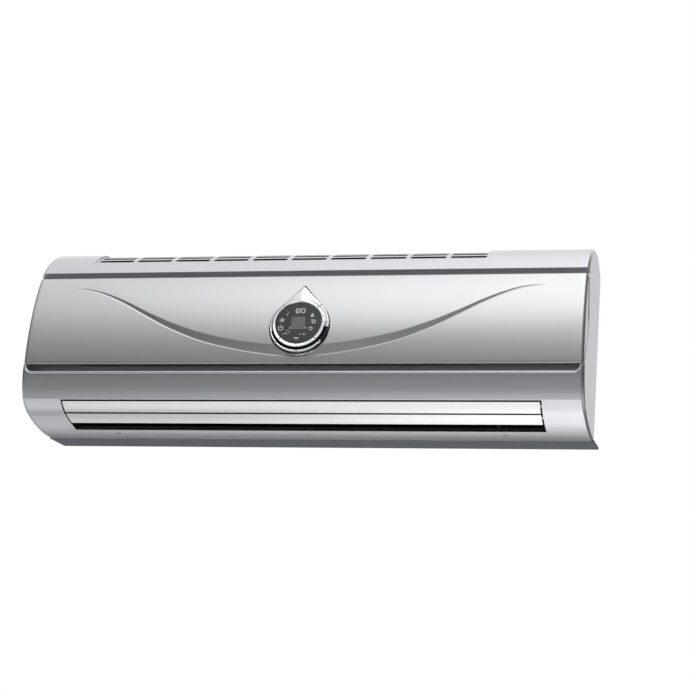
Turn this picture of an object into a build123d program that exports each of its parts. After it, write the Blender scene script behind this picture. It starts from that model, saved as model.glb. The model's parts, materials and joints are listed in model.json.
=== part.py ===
from build123d import *
from math import asin, cos, degrees, exp, hypot, radians, sin
import os

os.makedirs("parts", exist_ok=True)

# Wall-mounted indoor unit of a split air conditioner, in millimetres.
# X runs along the length, the wall is the plane Y = 0, the front faces -Y and Z is up.
# The origin is the centre of the four wall screws, at the wall.
# A section point is a pair: distance from the wall, height.

# ---------------------------------------------------------------- overall sizes
LENGTH = 850.0          # over the front edges of the two ends
END_FLARE = 5.0         # each end stands this much further out at the wall
DEPTH = 215.5           # wall to the foremost lip
TOP = 148.0             # highest point
BOTTOM = -147.5         # underside
WALL = 2.5              # moulded shells
END_WALL = 3.0          # moulded end faces
EDGE_RADIUS = 6.0       # rounded front edges of the two ends
FIT = 0.3               # gap between parts that only sit together
RUNNING = 0.05          # radial clearance of every pin in its hole

# ---------------------------------------------------------------- side outline of the body
REAR_CORNER = (0.0, TOP - 26.0)
TOP_BACK = (42.0, TOP - 3.5)
CREST = (80.0, TOP)
BAND_MIDDLE = (DEPTH - 89.5, TOP - 19.0)
BAND_END = (DEPTH - 53.5, TOP - 52.0)
PANEL_TOP = (DEPTH - 52.0, TOP - 54.0)
PANEL_MIDDLE = (DEPTH - 15.5, 16.0)
PANEL_END = (DEPTH - 2.0, BOTTOM + 93.5)
LIP = (DEPTH, BOTTOM + 83.5)
CHEEK = (DEPTH - 2.3, BOTTOM + 59.5)
CHIN = (DEPTH - 8.5, BOTTOM + 41.5)
CHIN_MIDDLE = (DEPTH - 19.0, BOTTOM + 30.0)
CHIN_END = (DEPTH - 36.5, BOTTOM + 20.0)
BELLY_MIDDLE = (DEPTH - 85.5, BOTTOM + 6.5)
BELLY_END = (72.0, BOTTOM + 1.5)
CASING_REAR = (0.0, TOP - 32.0)     # top of the slanted rear edge of the casing's ends
CASING_FOOT = BELLY_END[0] + 0.7    # depth at which the casing ends on the underside
OUTLINE = [
    REAR_CORNER, TOP_BACK, CREST, BAND_MIDDLE, BAND_END, PANEL_TOP, PANEL_MIDDLE, PANEL_END,
    LIP, CHEEK, CHIN, CHIN_MIDDLE, CHIN_END, BELLY_MIDDLE, BELLY_END, (0.0, BOTTOM),
]

# ---------------------------------------------------------------- arcs behind the band
HUB = (48.8, 7.1)       # centre shared by the band, the frame plate and the air filters
BAND_RADIUS = hypot(BAND_END[0] - HUB[0], BAND_END[1] - HUB[1])
FRAME_OUTER = BAND_RADIUS - 4.7
FRAME_THICKNESS = 2.0
FRAME_HALF = LENGTH / 2 - 4.5
FILTER_OUTER = FRAME_OUTER - FRAME_THICKNESS - 4.0
FILTER_THICKNESS = 2.8
FILTER_INNER = FILTER_OUTER - FILTER_THICKNESS

# ---------------------------------------------------------------- grooves round the front panel
UPPER_GROOVE_TOP = 100.5
UPPER_GROOVE_BOTTOM = 90.5
UPPER_TOP_ANGLE = degrees(asin((UPPER_GROOVE_TOP - HUB[1]) / BAND_RADIUS))
UPPER_BOTTOM_ANGLE = degrees(asin((UPPER_GROOVE_BOTTOM - HUB[1]) / BAND_RADIUS))
GROOVE_FLOOR = BAND_RADIUS - 8.0
LOWER_GROOVE_FLOOR = LIP[1] - 1.5
GROOVE_CORNER = 8.0
SEAL_HALF = LENGTH / 2 - 1.2
SEAM_TOP = (DEPTH - 55.5, 86.0)
SEAM_BEND = (DEPTH - 61.0, 22.0)
SEAM_MIDDLE = (DEPTH - 39.0, -17.0)
SEAM_END = (DEPTH - 2.0, PANEL_END[1] - 2.5)
PANEL_GAP = 0.8
END_RIB = 2.5           # thickness of the walls that close the recess at its ends

# ---------------------------------------------------------------- top grille
GRILLE_LEFT = -349.0
GRILLE_RIGHT = 270.0
GRILLE_STEP = 6.0
STEP_WALL = 2.0
GRILLE_THICKNESS = 2.0
GRILLE_REAR = (0.0, TOP - 32.0)
GRILLE_BACK = (42.0, TOP - 9.4)
GRILLE_CREST = (80.0, TOP - 4.2)
GRILLE_MIDDLE = (DEPTH - 103.5, TOP - 13.2)
GRILLE_FRONT = (DEPTH - 79.0, TOP - 27.2)
SLOT_PITCH = 61.9
SLOT_LENGTH = 55.5
SLOT_WIDTH = 7.4
SLOT_COUNT = 10
FIRST_SLOT = -343.0     # left end of the first slot
SLOT_ROWS = [128.5, 115.5, 102.5, 90.0, 77.5, 65.0, 52.5, 40.0]

# ---------------------------------------------------------------- air outlet
OUTLET_HALF = 363.5
OUTLET_TOP = (DEPTH - 9.2, BOTTOM + 40.4)
OUTLET_BOTTOM = (129.0, BOTTOM + 6.3)

# ---------------------------------------------------------------- hinge of the front panel
HINGE_RADIUS = GROOVE_FLOOR + 0.1
HINGE_ANGLE = 35.4
HINGE_XS = [-408.0, -36.6, 408.0]
HINGE_PIN = 2.5
LUG_WIDTH = 6.0
EAR_RADIUS = 4.2
EAR_WIDTH = 3.0
HINGE_SWEEP = 7.0        # reach of the panel's upper edge round the hinge

# ---------------------------------------------------------------- frame plate behind the panel
FRAME_TOP_ANGLE = 33.0
FRAME_WINDOW_ROWS = [(18.0, 31.0), (2.0, 15.5)]     # angles about the hub
FRAME_WINDOW_FOOT = (-52.0, 1.0)                    # heights of the lowest row
FRAME_WINDOW_COLUMNS = 4
FRAME_BAR = 6.0

# ---------------------------------------------------------------- air filters
FILTER_ENDS = [(-345.0, -46.0), (-27.5, 275.0)]
FILTER_TOP_ANGLE = 74.0
FILTER_FOOT = -50.0
FILTER_BORDER = 8.0
FILTER_RIB = 3.0
FILTER_RIB_THICKNESS = 1.3
NET_THICKNESS = 0.5
TAB_WIDTH = 30.0
RAIL_LIP = 2.0

# ---------------------------------------------------------------- cross-flow fan
FAN_CENTRE = (94.0, -42.0)
FAN_RADIUS = 47.0
FAN_LEFT = -358.0
FAN_RIGHT = 286.0
BLADE_COUNT = 35
BLADE_LENGTH = 10.5
BLADE_THICKNESS = 1.2
BLADE_TILT = 35.0
DISC_THICKNESS = 3.0
DISC_HOLE = 34.0
DISC_COUNT = 7
HUB_BOSS = 12.0
SHAFT_RADIUS = 4.0
BUSH_RADIUS = 6.0
MOUNT_RADIUS = 12.0
SCROLL_START = 53.9
SCROLL_GROWTH = 0.593
SCROLL_FROM = 148.7
SCROLL_TO = 288.0
SCROLL_STEPS = 14
SCROLL_WALL = 2.5

# ---------------------------------------------------------------- chassis
BACK_FACE = 3.0
CHASSIS_HALF = 415.0
BULKHEAD_LEFT = -366.0
BULKHEAD_RIGHT = 290.0
DUCT_HALF = 363.5
MOTOR_FLOOR = BOTTOM + 57.5
TROUGH_FLOOR = 20.0
MOTOR_RADIUS = 40.0
MOTOR_LEFT = 297.0
MOTOR_RIGHT = 346.0
CRADLE_LEFT = 302.0
CRADLE_RIGHT = 340.0
CRADLE_RIB = 4.0
STRAP = 2.5
STRAP_FOOT = 50.0
SCREW_XS = [-300.0, 0.0, 300.0]
SCREW_DEPTH = 113.0
SCREW_HEAD = 3.5
SCREW_RADIUS = 1.6

# ---------------------------------------------------------------- coil
COIL_LEFT = -352.0
COIL_RIGHT = 285.0
COIL_THICKNESS = 27.0
TUBE_PITCH = 21.0
TUBE_RADIUS = 3.5
END_PLATE = 1.5
FILTER_TO_COIL = 2.0
COIL_FACE = HUB[0] + FILTER_INNER - FILTER_TO_COIL       # front of the lower block
LOWER_CENTRE = (COIL_FACE - COIL_THICKNESS / 2, -25.0)
LOWER_HEIGHT = 90.0
UPPER_CENTRE = (140.3, 64.3)
UPPER_HEIGHT = 84.0
UPPER_LEAN = 32.0
REAR_CENTRE = (75.0, 62.0)
REAR_HEIGHT = 63.0
REAR_LEAN = 140.0
REAR_PITCH = 15.5

# ---------------------------------------------------------------- drain pan and air duct
PAN_BACK = 146.0
PAN_FRONT = 183.0
PAN_WALL = 2.0
PAN_FLOOR = BOTTOM + 63.5
PAN_RIM = BOTTOM + 85.5
PAN_HALF = 363.0
SPIGOT_RADIUS = 8.0
SPIGOT_BORE = 6.5
SPIGOT_LENGTH = 16.0
SPIGOT_CENTRE = (164.0, BOTTOM + 74.0)
DUCT_TOP_BACK = (146.2, BOTTOM + 62.9)
DUCT_TOP_FRONT = (DEPTH - 12.5, BOTTOM + 44.5)
DUCT_WALL = 2.2
DUCT_END = 363.8
DUCT_END_WALL = 2.5

# ---------------------------------------------------------------- vanes
VANE_HALF = 361.0
VANE_EDGE = 0.9
VANE_MIDDLE = 3.2
VANE_LUG = 3.0
UPPER_VANE = [(DEPTH - 9.9, BOTTOM + 39.1), (DEPTH - 18.6, BOTTOM + 30.3),
              (DEPTH - 28.1, BOTTOM + 24.1)]
LOWER_VANE = [(DEPTH - 30.0, BOTTOM + 22.8), (DEPTH - 44.0, BOTTOM + 17.2),
              (DEPTH - 58.5, BOTTOM + 12.8)]
UPPER_PIVOT = (DEPTH - 24.4, BOTTOM + 35.3)
LOWER_PIVOT = (DEPTH - 48.0, BOTTOM + 22.5)
VANE_PIN = 2.5
CRANK_RADIUS = 9.0
CRANK_ANGLE = 170.0
CRANK_LEFT = -368.6
CRANK_WIDTH = 2.0
CRANK_BOSS = 3.3
LINK_PIN = 1.5
LINK_BOSS = 3.0
VANE_MOTOR_RADIUS = 12.0
VANE_MOTOR_OFFSET = (-4.87, 6.34)
VANE_MOTOR_LENGTH = 18.0
VANE_SHAFT = 1.5

# ---------------------------------------------------------------- deflectors
DEFLECTOR_XS = [44.0, 132.0, 220.0, 308.0]
DEFLECTOR_THICKNESS = 1.6
DEFLECTOR_NEAR = 4.0        # along the duct's upper wall, from its rear edge
DEFLECTOR_FAR = 30.0
DEFLECTOR_TOP = 3.4         # below the upper wall's top face
DEFLECTOR_BOTTOM = 22.0
DEFLECTOR_PIVOT = 14.0
DEFLECTOR_PIN = 2.0
DEFLECTOR_CATCH = 27.0
CATCH_PIN = 1.2
CATCH_TOP = 9.0
CATCH_BOTTOM = 15.0
BAR_WIDTH = 4.6
BAR_THICKNESS = 3.0

# ---------------------------------------------------------------- front panel and display
RELIEF = 2.6
RELIEF_HALF = 350.0
RELIEF_CURVE = [(-350, 72), (-301, 59), (-239, 26), (-175, 0), (-98, -19), (0, -28),
                (98, -19), (175, 0), (239, 26), (301, 59), (350, 72)]
RELIEF_TOP = 85.0
DISPLAY_TILT = 15.9
LENS_RADIUS = 34.0
LENS_TOP = 2.5
BEZEL_CENTRE = -4.3
BEZEL_RADIUS = 46.7
BEZEL_TIP = 65.0
BEZEL_RISE = 6.0
BEZEL_SEAMS = [0, 45, 135, 180, 225, 270, 315]
SEAM_WIDTH = 0.7
WINDOW_SIZE = 21.0
HOUSING_RADIUS = 36.5

# ---------------------------------------------------------------- emergency switch
BUTTON_X = 350.0
BUTTON_HEIGHT = -30.0
BUTTON_RADIUS = 4.0
BUTTON_FLANGE = 5.0
BUTTON_TRAVEL = 2.0

# ---------------------------------------------------------------- electrics
BOX_LEFT = 312.0
BOX_RIGHT = CHASSIS_HALF - 2.8
BOX_BACK = 100.0
BOX_FRONT = 165.0
BOX_FLOOR = 12.0
BOX_TOP = 72.0
BOX_WALL = 2.0

# ---------------------------------------------------------------- wall plate and pipes
PLATE_THICKNESS = 1.5
PLATE_LENGTH = 600.0
PLATE_HEIGHT = 200.0
SCREW_SPAN_X = 450.0
SCREW_SPAN_Z = 120.0
SCREW_HOLE = 3.0
HOOK_X = 200.0
HOOK_WIDTH = 30.0
HOOK_HEIGHT = 96.0
HOOK_REACH = 9.0
HOOK_LIP = 103.0
GAS_RADIUS = 4.76
LIQUID_RADIUS = 3.175
PIPE_X = 304.5
GAS_DEPTH = 29.0
GAS_HEIGHT = BOTTOM + 40.5
LIQUID_DEPTH = 20.2
LIQUID_HEIGHT = BOTTOM + 15.5
PIPE_END = -250.0
GAS_NUT = 22.0              # across flats
GAS_THREAD = 7.4
LIQUID_NUT = 17.0
LIQUID_THREAD = 5.1
NUT_LENGTH = 20.0
CLAMP_X = 100.0
CLAMP_WIDTH = 12.0


def at(point):
    """Sketch coordinates, in a plane square to X, of a section point."""
    return (-point[0], point[1])


def around_hub(radius, angle):
    """Section point at a radius and an angle above horizontal from the hub."""
    return (HUB[0] + radius * cos(radians(angle)), HUB[1] + radius * sin(radians(angle)))


def shifted(point, depth=0.0, height=0.0):
    """Section point moved away from the wall and up."""
    return (point[0] + depth, point[1] + height)


def section(x):
    """Sketch plane square to X."""
    return Plane.YZ.offset(x)


def end_plane(side, inset=0.0):
    """Flared end face: side is +1 for the right end or -1, inset moves it inwards."""
    out = Vector(side * DEPTH, -END_FLARE, 0).normalized()
    foot = Vector(side * LENGTH / 2, -DEPTH, 0) - out * inset
    return Plane(origin=foot, x_dir=(0, 0, 1), z_dir=out)


def cut_ends(inset=0.0):
    """Trim the part being built to the flared end faces."""
    split(bisect_by=end_plane(1, inset), keep=Keep.BOTTOM)
    split(bisect_by=end_plane(-1, inset), keep=Keep.BOTTOM)


def inset_outline(inset):
    """The outline's points moved inwards, each square to the line between its neighbours."""
    moved = []
    for index, point in enumerate(OUTLINE):
        before = OUTLINE[max(index - 1, 0)]
        after = OUTLINE[min(index + 1, len(OUTLINE) - 1)]
        run, rise = after[0] - before[0], after[1] - before[1]
        step = inset / hypot(run, rise)
        moved.append((point[0] + rise * step, point[1] - run * step))
    return moved


def draw_outline(inset, rear):
    """Closed side outline of the body, inset from its surface, reaching back to rear."""
    (corner, top_back, crest, band_mid, band_end, panel_top, panel_mid, panel_end,
     lip, cheek, chin, chin_mid, chin_end, belly_mid, belly_end, foot) = inset_outline(inset)
    corner = (rear, corner[1])
    foot = (rear, foot[1])
    Line(at(foot), at(corner))
    ThreePointArc(at(corner), at(top_back), at(crest))
    ThreePointArc(at(crest), at(band_mid), at(band_end))
    Line(at(band_end), at(panel_top))
    ThreePointArc(at(panel_top), at(panel_mid), at(panel_end))
    Line(at(panel_end), at(lip))
    ThreePointArc(at(lip), at(cheek), at(chin))
    ThreePointArc(at(chin), at(chin_mid), at(chin_end))
    ThreePointArc(at(chin_end), at(belly_mid), at(belly_end))
    Line(at(belly_end), at(foot))


def draw_recess(gap, top_angle, end_height):
    """Section in front of the seam that the panel's ends meet, with a gap along the seam."""
    far = 40.0
    top = around_hub(GROOVE_FLOOR + 2 * gap, top_angle)
    start, bend = shifted(SEAM_TOP, gap), shifted(SEAM_BEND, gap)
    middle = shifted(SEAM_MIDDLE, gap, gap)
    end = (SEAM_END[0] + gap, end_height)
    outer_top = around_hub(BAND_RADIUS + far, top_angle)
    Polyline(at(outer_top), at(top), at(start), at(bend))
    ThreePointArc(at(bend), at(middle), at(end))
    Polyline(at(end), at((DEPTH + far, end_height)), at((DEPTH + far, outer_top[1])),
             at(outer_top))


def draw_grille(drop, raise_to=None):
    """Section of the grille plate, or of the space above its floor."""
    rear, back, crest, middle, front = [
        shifted(point, 0.0, -drop)
        for point in (GRILLE_REAR, GRILLE_BACK, GRILLE_CREST, GRILLE_MIDDLE, GRILLE_FRONT)
    ]
    ThreePointArc(at(rear), at(back), at(crest))
    ThreePointArc(at(crest), at(middle), at(front))
    if raise_to is not None:
        Polyline(at(front), at((front[0], raise_to)), at((rear[0], raise_to)), at(rear))
        return
    upper = [shifted(point, 0.0, GRILLE_THICKNESS) for point in (rear, back, crest, middle, front)]
    Line(at(front), at(upper[4]))
    ThreePointArc(at(upper[4]), at(upper[3]), at(upper[2]))
    ThreePointArc(at(upper[2]), at(upper[1]), at(upper[0]))
    Line(at(upper[0]), at(rear))


def draw_sector(inner, outer, low, high):
    """Outline between two radii and two angles about the hub."""
    middle = (low + high) / 2
    ThreePointArc(at(around_hub(outer, low)), at(around_hub(outer, middle)),
                  at(around_hub(outer, high)))
    Line(at(around_hub(outer, high)), at(around_hub(inner, high)))
    ThreePointArc(at(around_hub(inner, high)), at(around_hub(inner, middle)),
                  at(around_hub(inner, low)))
    Line(at(around_hub(inner, low)), at(around_hub(outer, low)))


def draw_curtain(inner, outer, top_angle, foot):
    """Outline of a sheet that follows the hub's arc and then hangs straight down to foot."""
    middle = top_angle / 2
    ThreePointArc(at(around_hub(outer, top_angle)), at(around_hub(outer, middle)),
                  at(around_hub(outer, 0)))
    Polyline(at(around_hub(outer, 0)), at((HUB[0] + outer, foot)),
             at((HUB[0] + inner, foot)), at(around_hub(inner, 0)))
    ThreePointArc(at(around_hub(inner, 0)), at(around_hub(inner, middle)),
                  at(around_hub(inner, top_angle)))
    Line(at(around_hub(inner, top_angle)), at(around_hub(outer, top_angle)))


def draw_frame_plate():
    """Frame plate behind the panel, with the shelf that joins it to the lip."""
    inner = FRAME_OUTER - FRAME_THICKNESS
    middle = FRAME_TOP_ANGLE / 2
    shelf = LOWER_GROOVE_FLOOR
    ThreePointArc(at(around_hub(FRAME_OUTER, FRAME_TOP_ANGLE)),
                  at(around_hub(FRAME_OUTER, middle)), at(around_hub(FRAME_OUTER, 0)))
    Polyline(at(around_hub(FRAME_OUTER, 0)), at((HUB[0] + FRAME_OUTER, shelf)),
             at((DEPTH - 1.0, shelf)), at((DEPTH - 1.0, shelf - FRAME_THICKNESS)),
             at((HUB[0] + inner, shelf - FRAME_THICKNESS)), at(around_hub(inner, 0)))
    ThreePointArc(at(around_hub(inner, 0)), at(around_hub(inner, middle)),
                  at(around_hub(inner, FRAME_TOP_ANGLE)))
    Line(at(around_hub(inner, FRAME_TOP_ANGLE)), at(around_hub(FRAME_OUTER, FRAME_TOP_ANGLE)))


def draw_end_rib():
    """Wall that closes the panel's recess just inside the panel's end."""
    points = inset_outline(WALL + 1.7)
    top, middle, end = points[5], points[6], points[7]
    Polyline(at(SEAM_TOP), at(around_hub(GROOVE_FLOOR, UPPER_BOTTOM_ANGLE - 2)), at(top))
    ThreePointArc(at(top), at(middle), at(end))
    Polyline(at(end), at((end[0], LOWER_GROOVE_FLOOR)), at((frame_depth - 1, LOWER_GROOVE_FLOOR)),
             at((frame_depth - 1, SEAM_MIDDLE[1])), at(SEAM_MIDDLE), at(SEAM_BEND), at(SEAM_TOP))


def polygon(points):
    """Sketch coordinates of a list of section points."""
    return [at(point) for point in points]


def thickened(points, thickness):
    """Polygon of a bent sheet: a line of section points and its copy moved to its left."""
    moved = []
    for index, point in enumerate(points):
        before = points[max(index - 1, 0)]
        after = points[min(index + 1, len(points) - 1)]
        run, rise = after[0] - before[0], after[1] - before[1]
        step = thickness / hypot(run, rise)
        moved.append((point[0] - rise * step, point[1] + run * step))
    return polygon(points + moved[::-1])


def block_corners(centre, height, lean, margin=0.0):
    """Corners of a coil block whose face looks up from the front by lean degrees."""
    out = (cos(radians(lean)), sin(radians(lean)))
    along = (-out[1], out[0])
    half, reach = COIL_THICKNESS / 2 + margin, height / 2 + margin
    corners = []
    for face, end in ((1, -1), (1, 1), (-1, 1), (-1, -1)):
        corners.append((centre[0] + face * half * out[0] + end * reach * along[0],
                        centre[1] + face * half * out[1] + end * reach * along[1]))
    return corners


def tube_centres(centre, count, lean, pitch):
    """Section points of the tubes in a coil block."""
    along = (-sin(radians(lean)), cos(radians(lean)))
    steps = [pitch * (index - (count - 1) / 2) for index in range(count)]
    return [(centre[0] + step * along[0], centre[1] + step * along[1]) for step in steps]


def scroll_line():
    """Section points of the air guide behind the fan, from its top to the outlet."""
    points = []
    for index in range(SCROLL_STEPS + 1):
        share = index / SCROLL_STEPS
        angle = radians(SCROLL_FROM + share * (SCROLL_TO - SCROLL_FROM))
        radius = SCROLL_START * exp(SCROLL_GROWTH * share * share)
        points.append((FAN_CENTRE[0] + radius * cos(angle), FAN_CENTRE[1] + radius * sin(angle)))
    return points


def along_duct(run, drop):
    """Section point measured along the duct's upper wall and square to it, downwards."""
    length = hypot(DUCT_TOP_FRONT[0] - DUCT_TOP_BACK[0], DUCT_TOP_FRONT[1] - DUCT_TOP_BACK[1])
    ahead = ((DUCT_TOP_FRONT[0] - DUCT_TOP_BACK[0]) / length,
             (DUCT_TOP_FRONT[1] - DUCT_TOP_BACK[1]) / length)
    return (DUCT_TOP_BACK[0] + run * ahead[0] + drop * ahead[1],
            DUCT_TOP_BACK[1] + run * ahead[1] - drop * ahead[0])


def duct_plane(x, run, drop):
    """Plane square to a deflector's axis, looking up."""
    spot, above = along_duct(run, drop), along_duct(run, drop - 1)
    up = (0, -(above[0] - spot[0]), above[1] - spot[1])
    return Plane(origin=(x, -spot[0], spot[1]), x_dir=(1, 0, 0), z_dir=up)


def circle_through(first, second, third):
    """Centre and radius of the circle through three section points."""
    ax, ay = second[0] - first[0], second[1] - first[1]
    bx, by = third[0] - first[0], third[1] - first[1]
    twice = 2 * (ax * by - ay * bx)
    east = (by * (ax * ax + ay * ay) - ay * (bx * bx + by * by)) / twice
    north = (ax * (bx * bx + by * by) - bx * (ax * ax + ay * ay)) / twice
    return (first[0] + east, first[1] + north), hypot(east, north)


def display_plane(height):
    """Plane of the display, at a height above the panel's surface in its middle."""
    centre, radius = circle_through(PANEL_TOP, PANEL_MIDDLE, PANEL_END)
    reach = radius + height
    tilt = radians(DISPLAY_TILT)
    return Plane(origin=(0, -centre[0] - reach * cos(tilt), centre[1] + reach * sin(tilt)),
                 x_dir=(1, 0, 0), z_dir=(0, -cos(tilt), sin(tilt)))


def draw_bezel():
    """Teardrop outline of the bezel, in the plane of the display."""
    reach = BEZEL_TIP - BEZEL_CENTRE
    lean = asin(BEZEL_RADIUS / reach)
    side = (BEZEL_RADIUS * cos(lean), BEZEL_CENTRE + BEZEL_RADIUS * sin(lean))
    Line((0, BEZEL_TIP), side)
    ThreePointArc(side, (0, BEZEL_CENTRE - BEZEL_RADIUS), (-side[0], side[1]))
    Line((-side[0], side[1]), (0, BEZEL_TIP))


def draw_vane(outer):
    """Section of a vane: its outer arc and the inner face, thickest in the middle."""
    first, middle, last = outer
    run, rise = last[0] - first[0], last[1] - first[1]
    length = hypot(run, rise)
    inward = (rise / length, -run / length)
    inner = [shifted(first, inward[0] * VANE_EDGE, inward[1] * VANE_EDGE),
             shifted(middle, inward[0] * VANE_MIDDLE, inward[1] * VANE_MIDDLE),
             shifted(last, inward[0] * VANE_EDGE, inward[1] * VANE_EDGE)]
    ThreePointArc(at(first), at(middle), at(last))
    Line(at(last), at(inner[2]))
    ThreePointArc(at(inner[2]), at(inner[1]), at(inner[0]))
    Line(at(inner[0]), at(first))


def crank_end(pivot):
    """Section point of the link pin of the crank on a vane's pivot."""
    angle = radians(CRANK_ANGLE)
    return (pivot[0] + CRANK_RADIUS * cos(angle), pivot[1] + CRANK_RADIUS * sin(angle))


def save(piece, name):
    """Label a finished piece and write it under that name."""
    piece.part.label = name
    export_step(piece.part, f"parts/{name}.step")


HALF = LENGTH / 2 + END_FLARE + 1.0      # past the ends, before they are cut

# ================================================================ bodies that others are cut from
with BuildPart() as envelope:
    with BuildSketch(section(-HALF)):
        with BuildLine():
            draw_outline(0.0, 0.0)
        make_face()
    extrude(amount=2 * HALF)
    cut_ends()
    end_edges = envelope.edges().filter_by(
        lambda edge: abs(edge.center().X) > LENGTH / 2 - 1 and edge.center().Y < -CREST[0]
    )
    fillet(end_edges, radius=EDGE_RADIUS)

with BuildPart() as hollow:
    with BuildSketch(section(-HALF)):
        with BuildLine():
            draw_outline(WALL, -1.0)
        make_face()
    extrude(amount=2 * HALF)
    cut_ends(END_WALL)

with BuildPart() as grille_steps:
    with BuildSketch(section(GRILLE_LEFT - STEP_WALL), section(GRILLE_RIGHT)):
        with BuildLine():
            draw_grille(GRILLE_THICKNESS / 2, raise_to=TOP + 5)
        make_face()
    extrude(amount=STEP_WALL)
    add(envelope.part, mode=Mode.INTERSECT)

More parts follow.
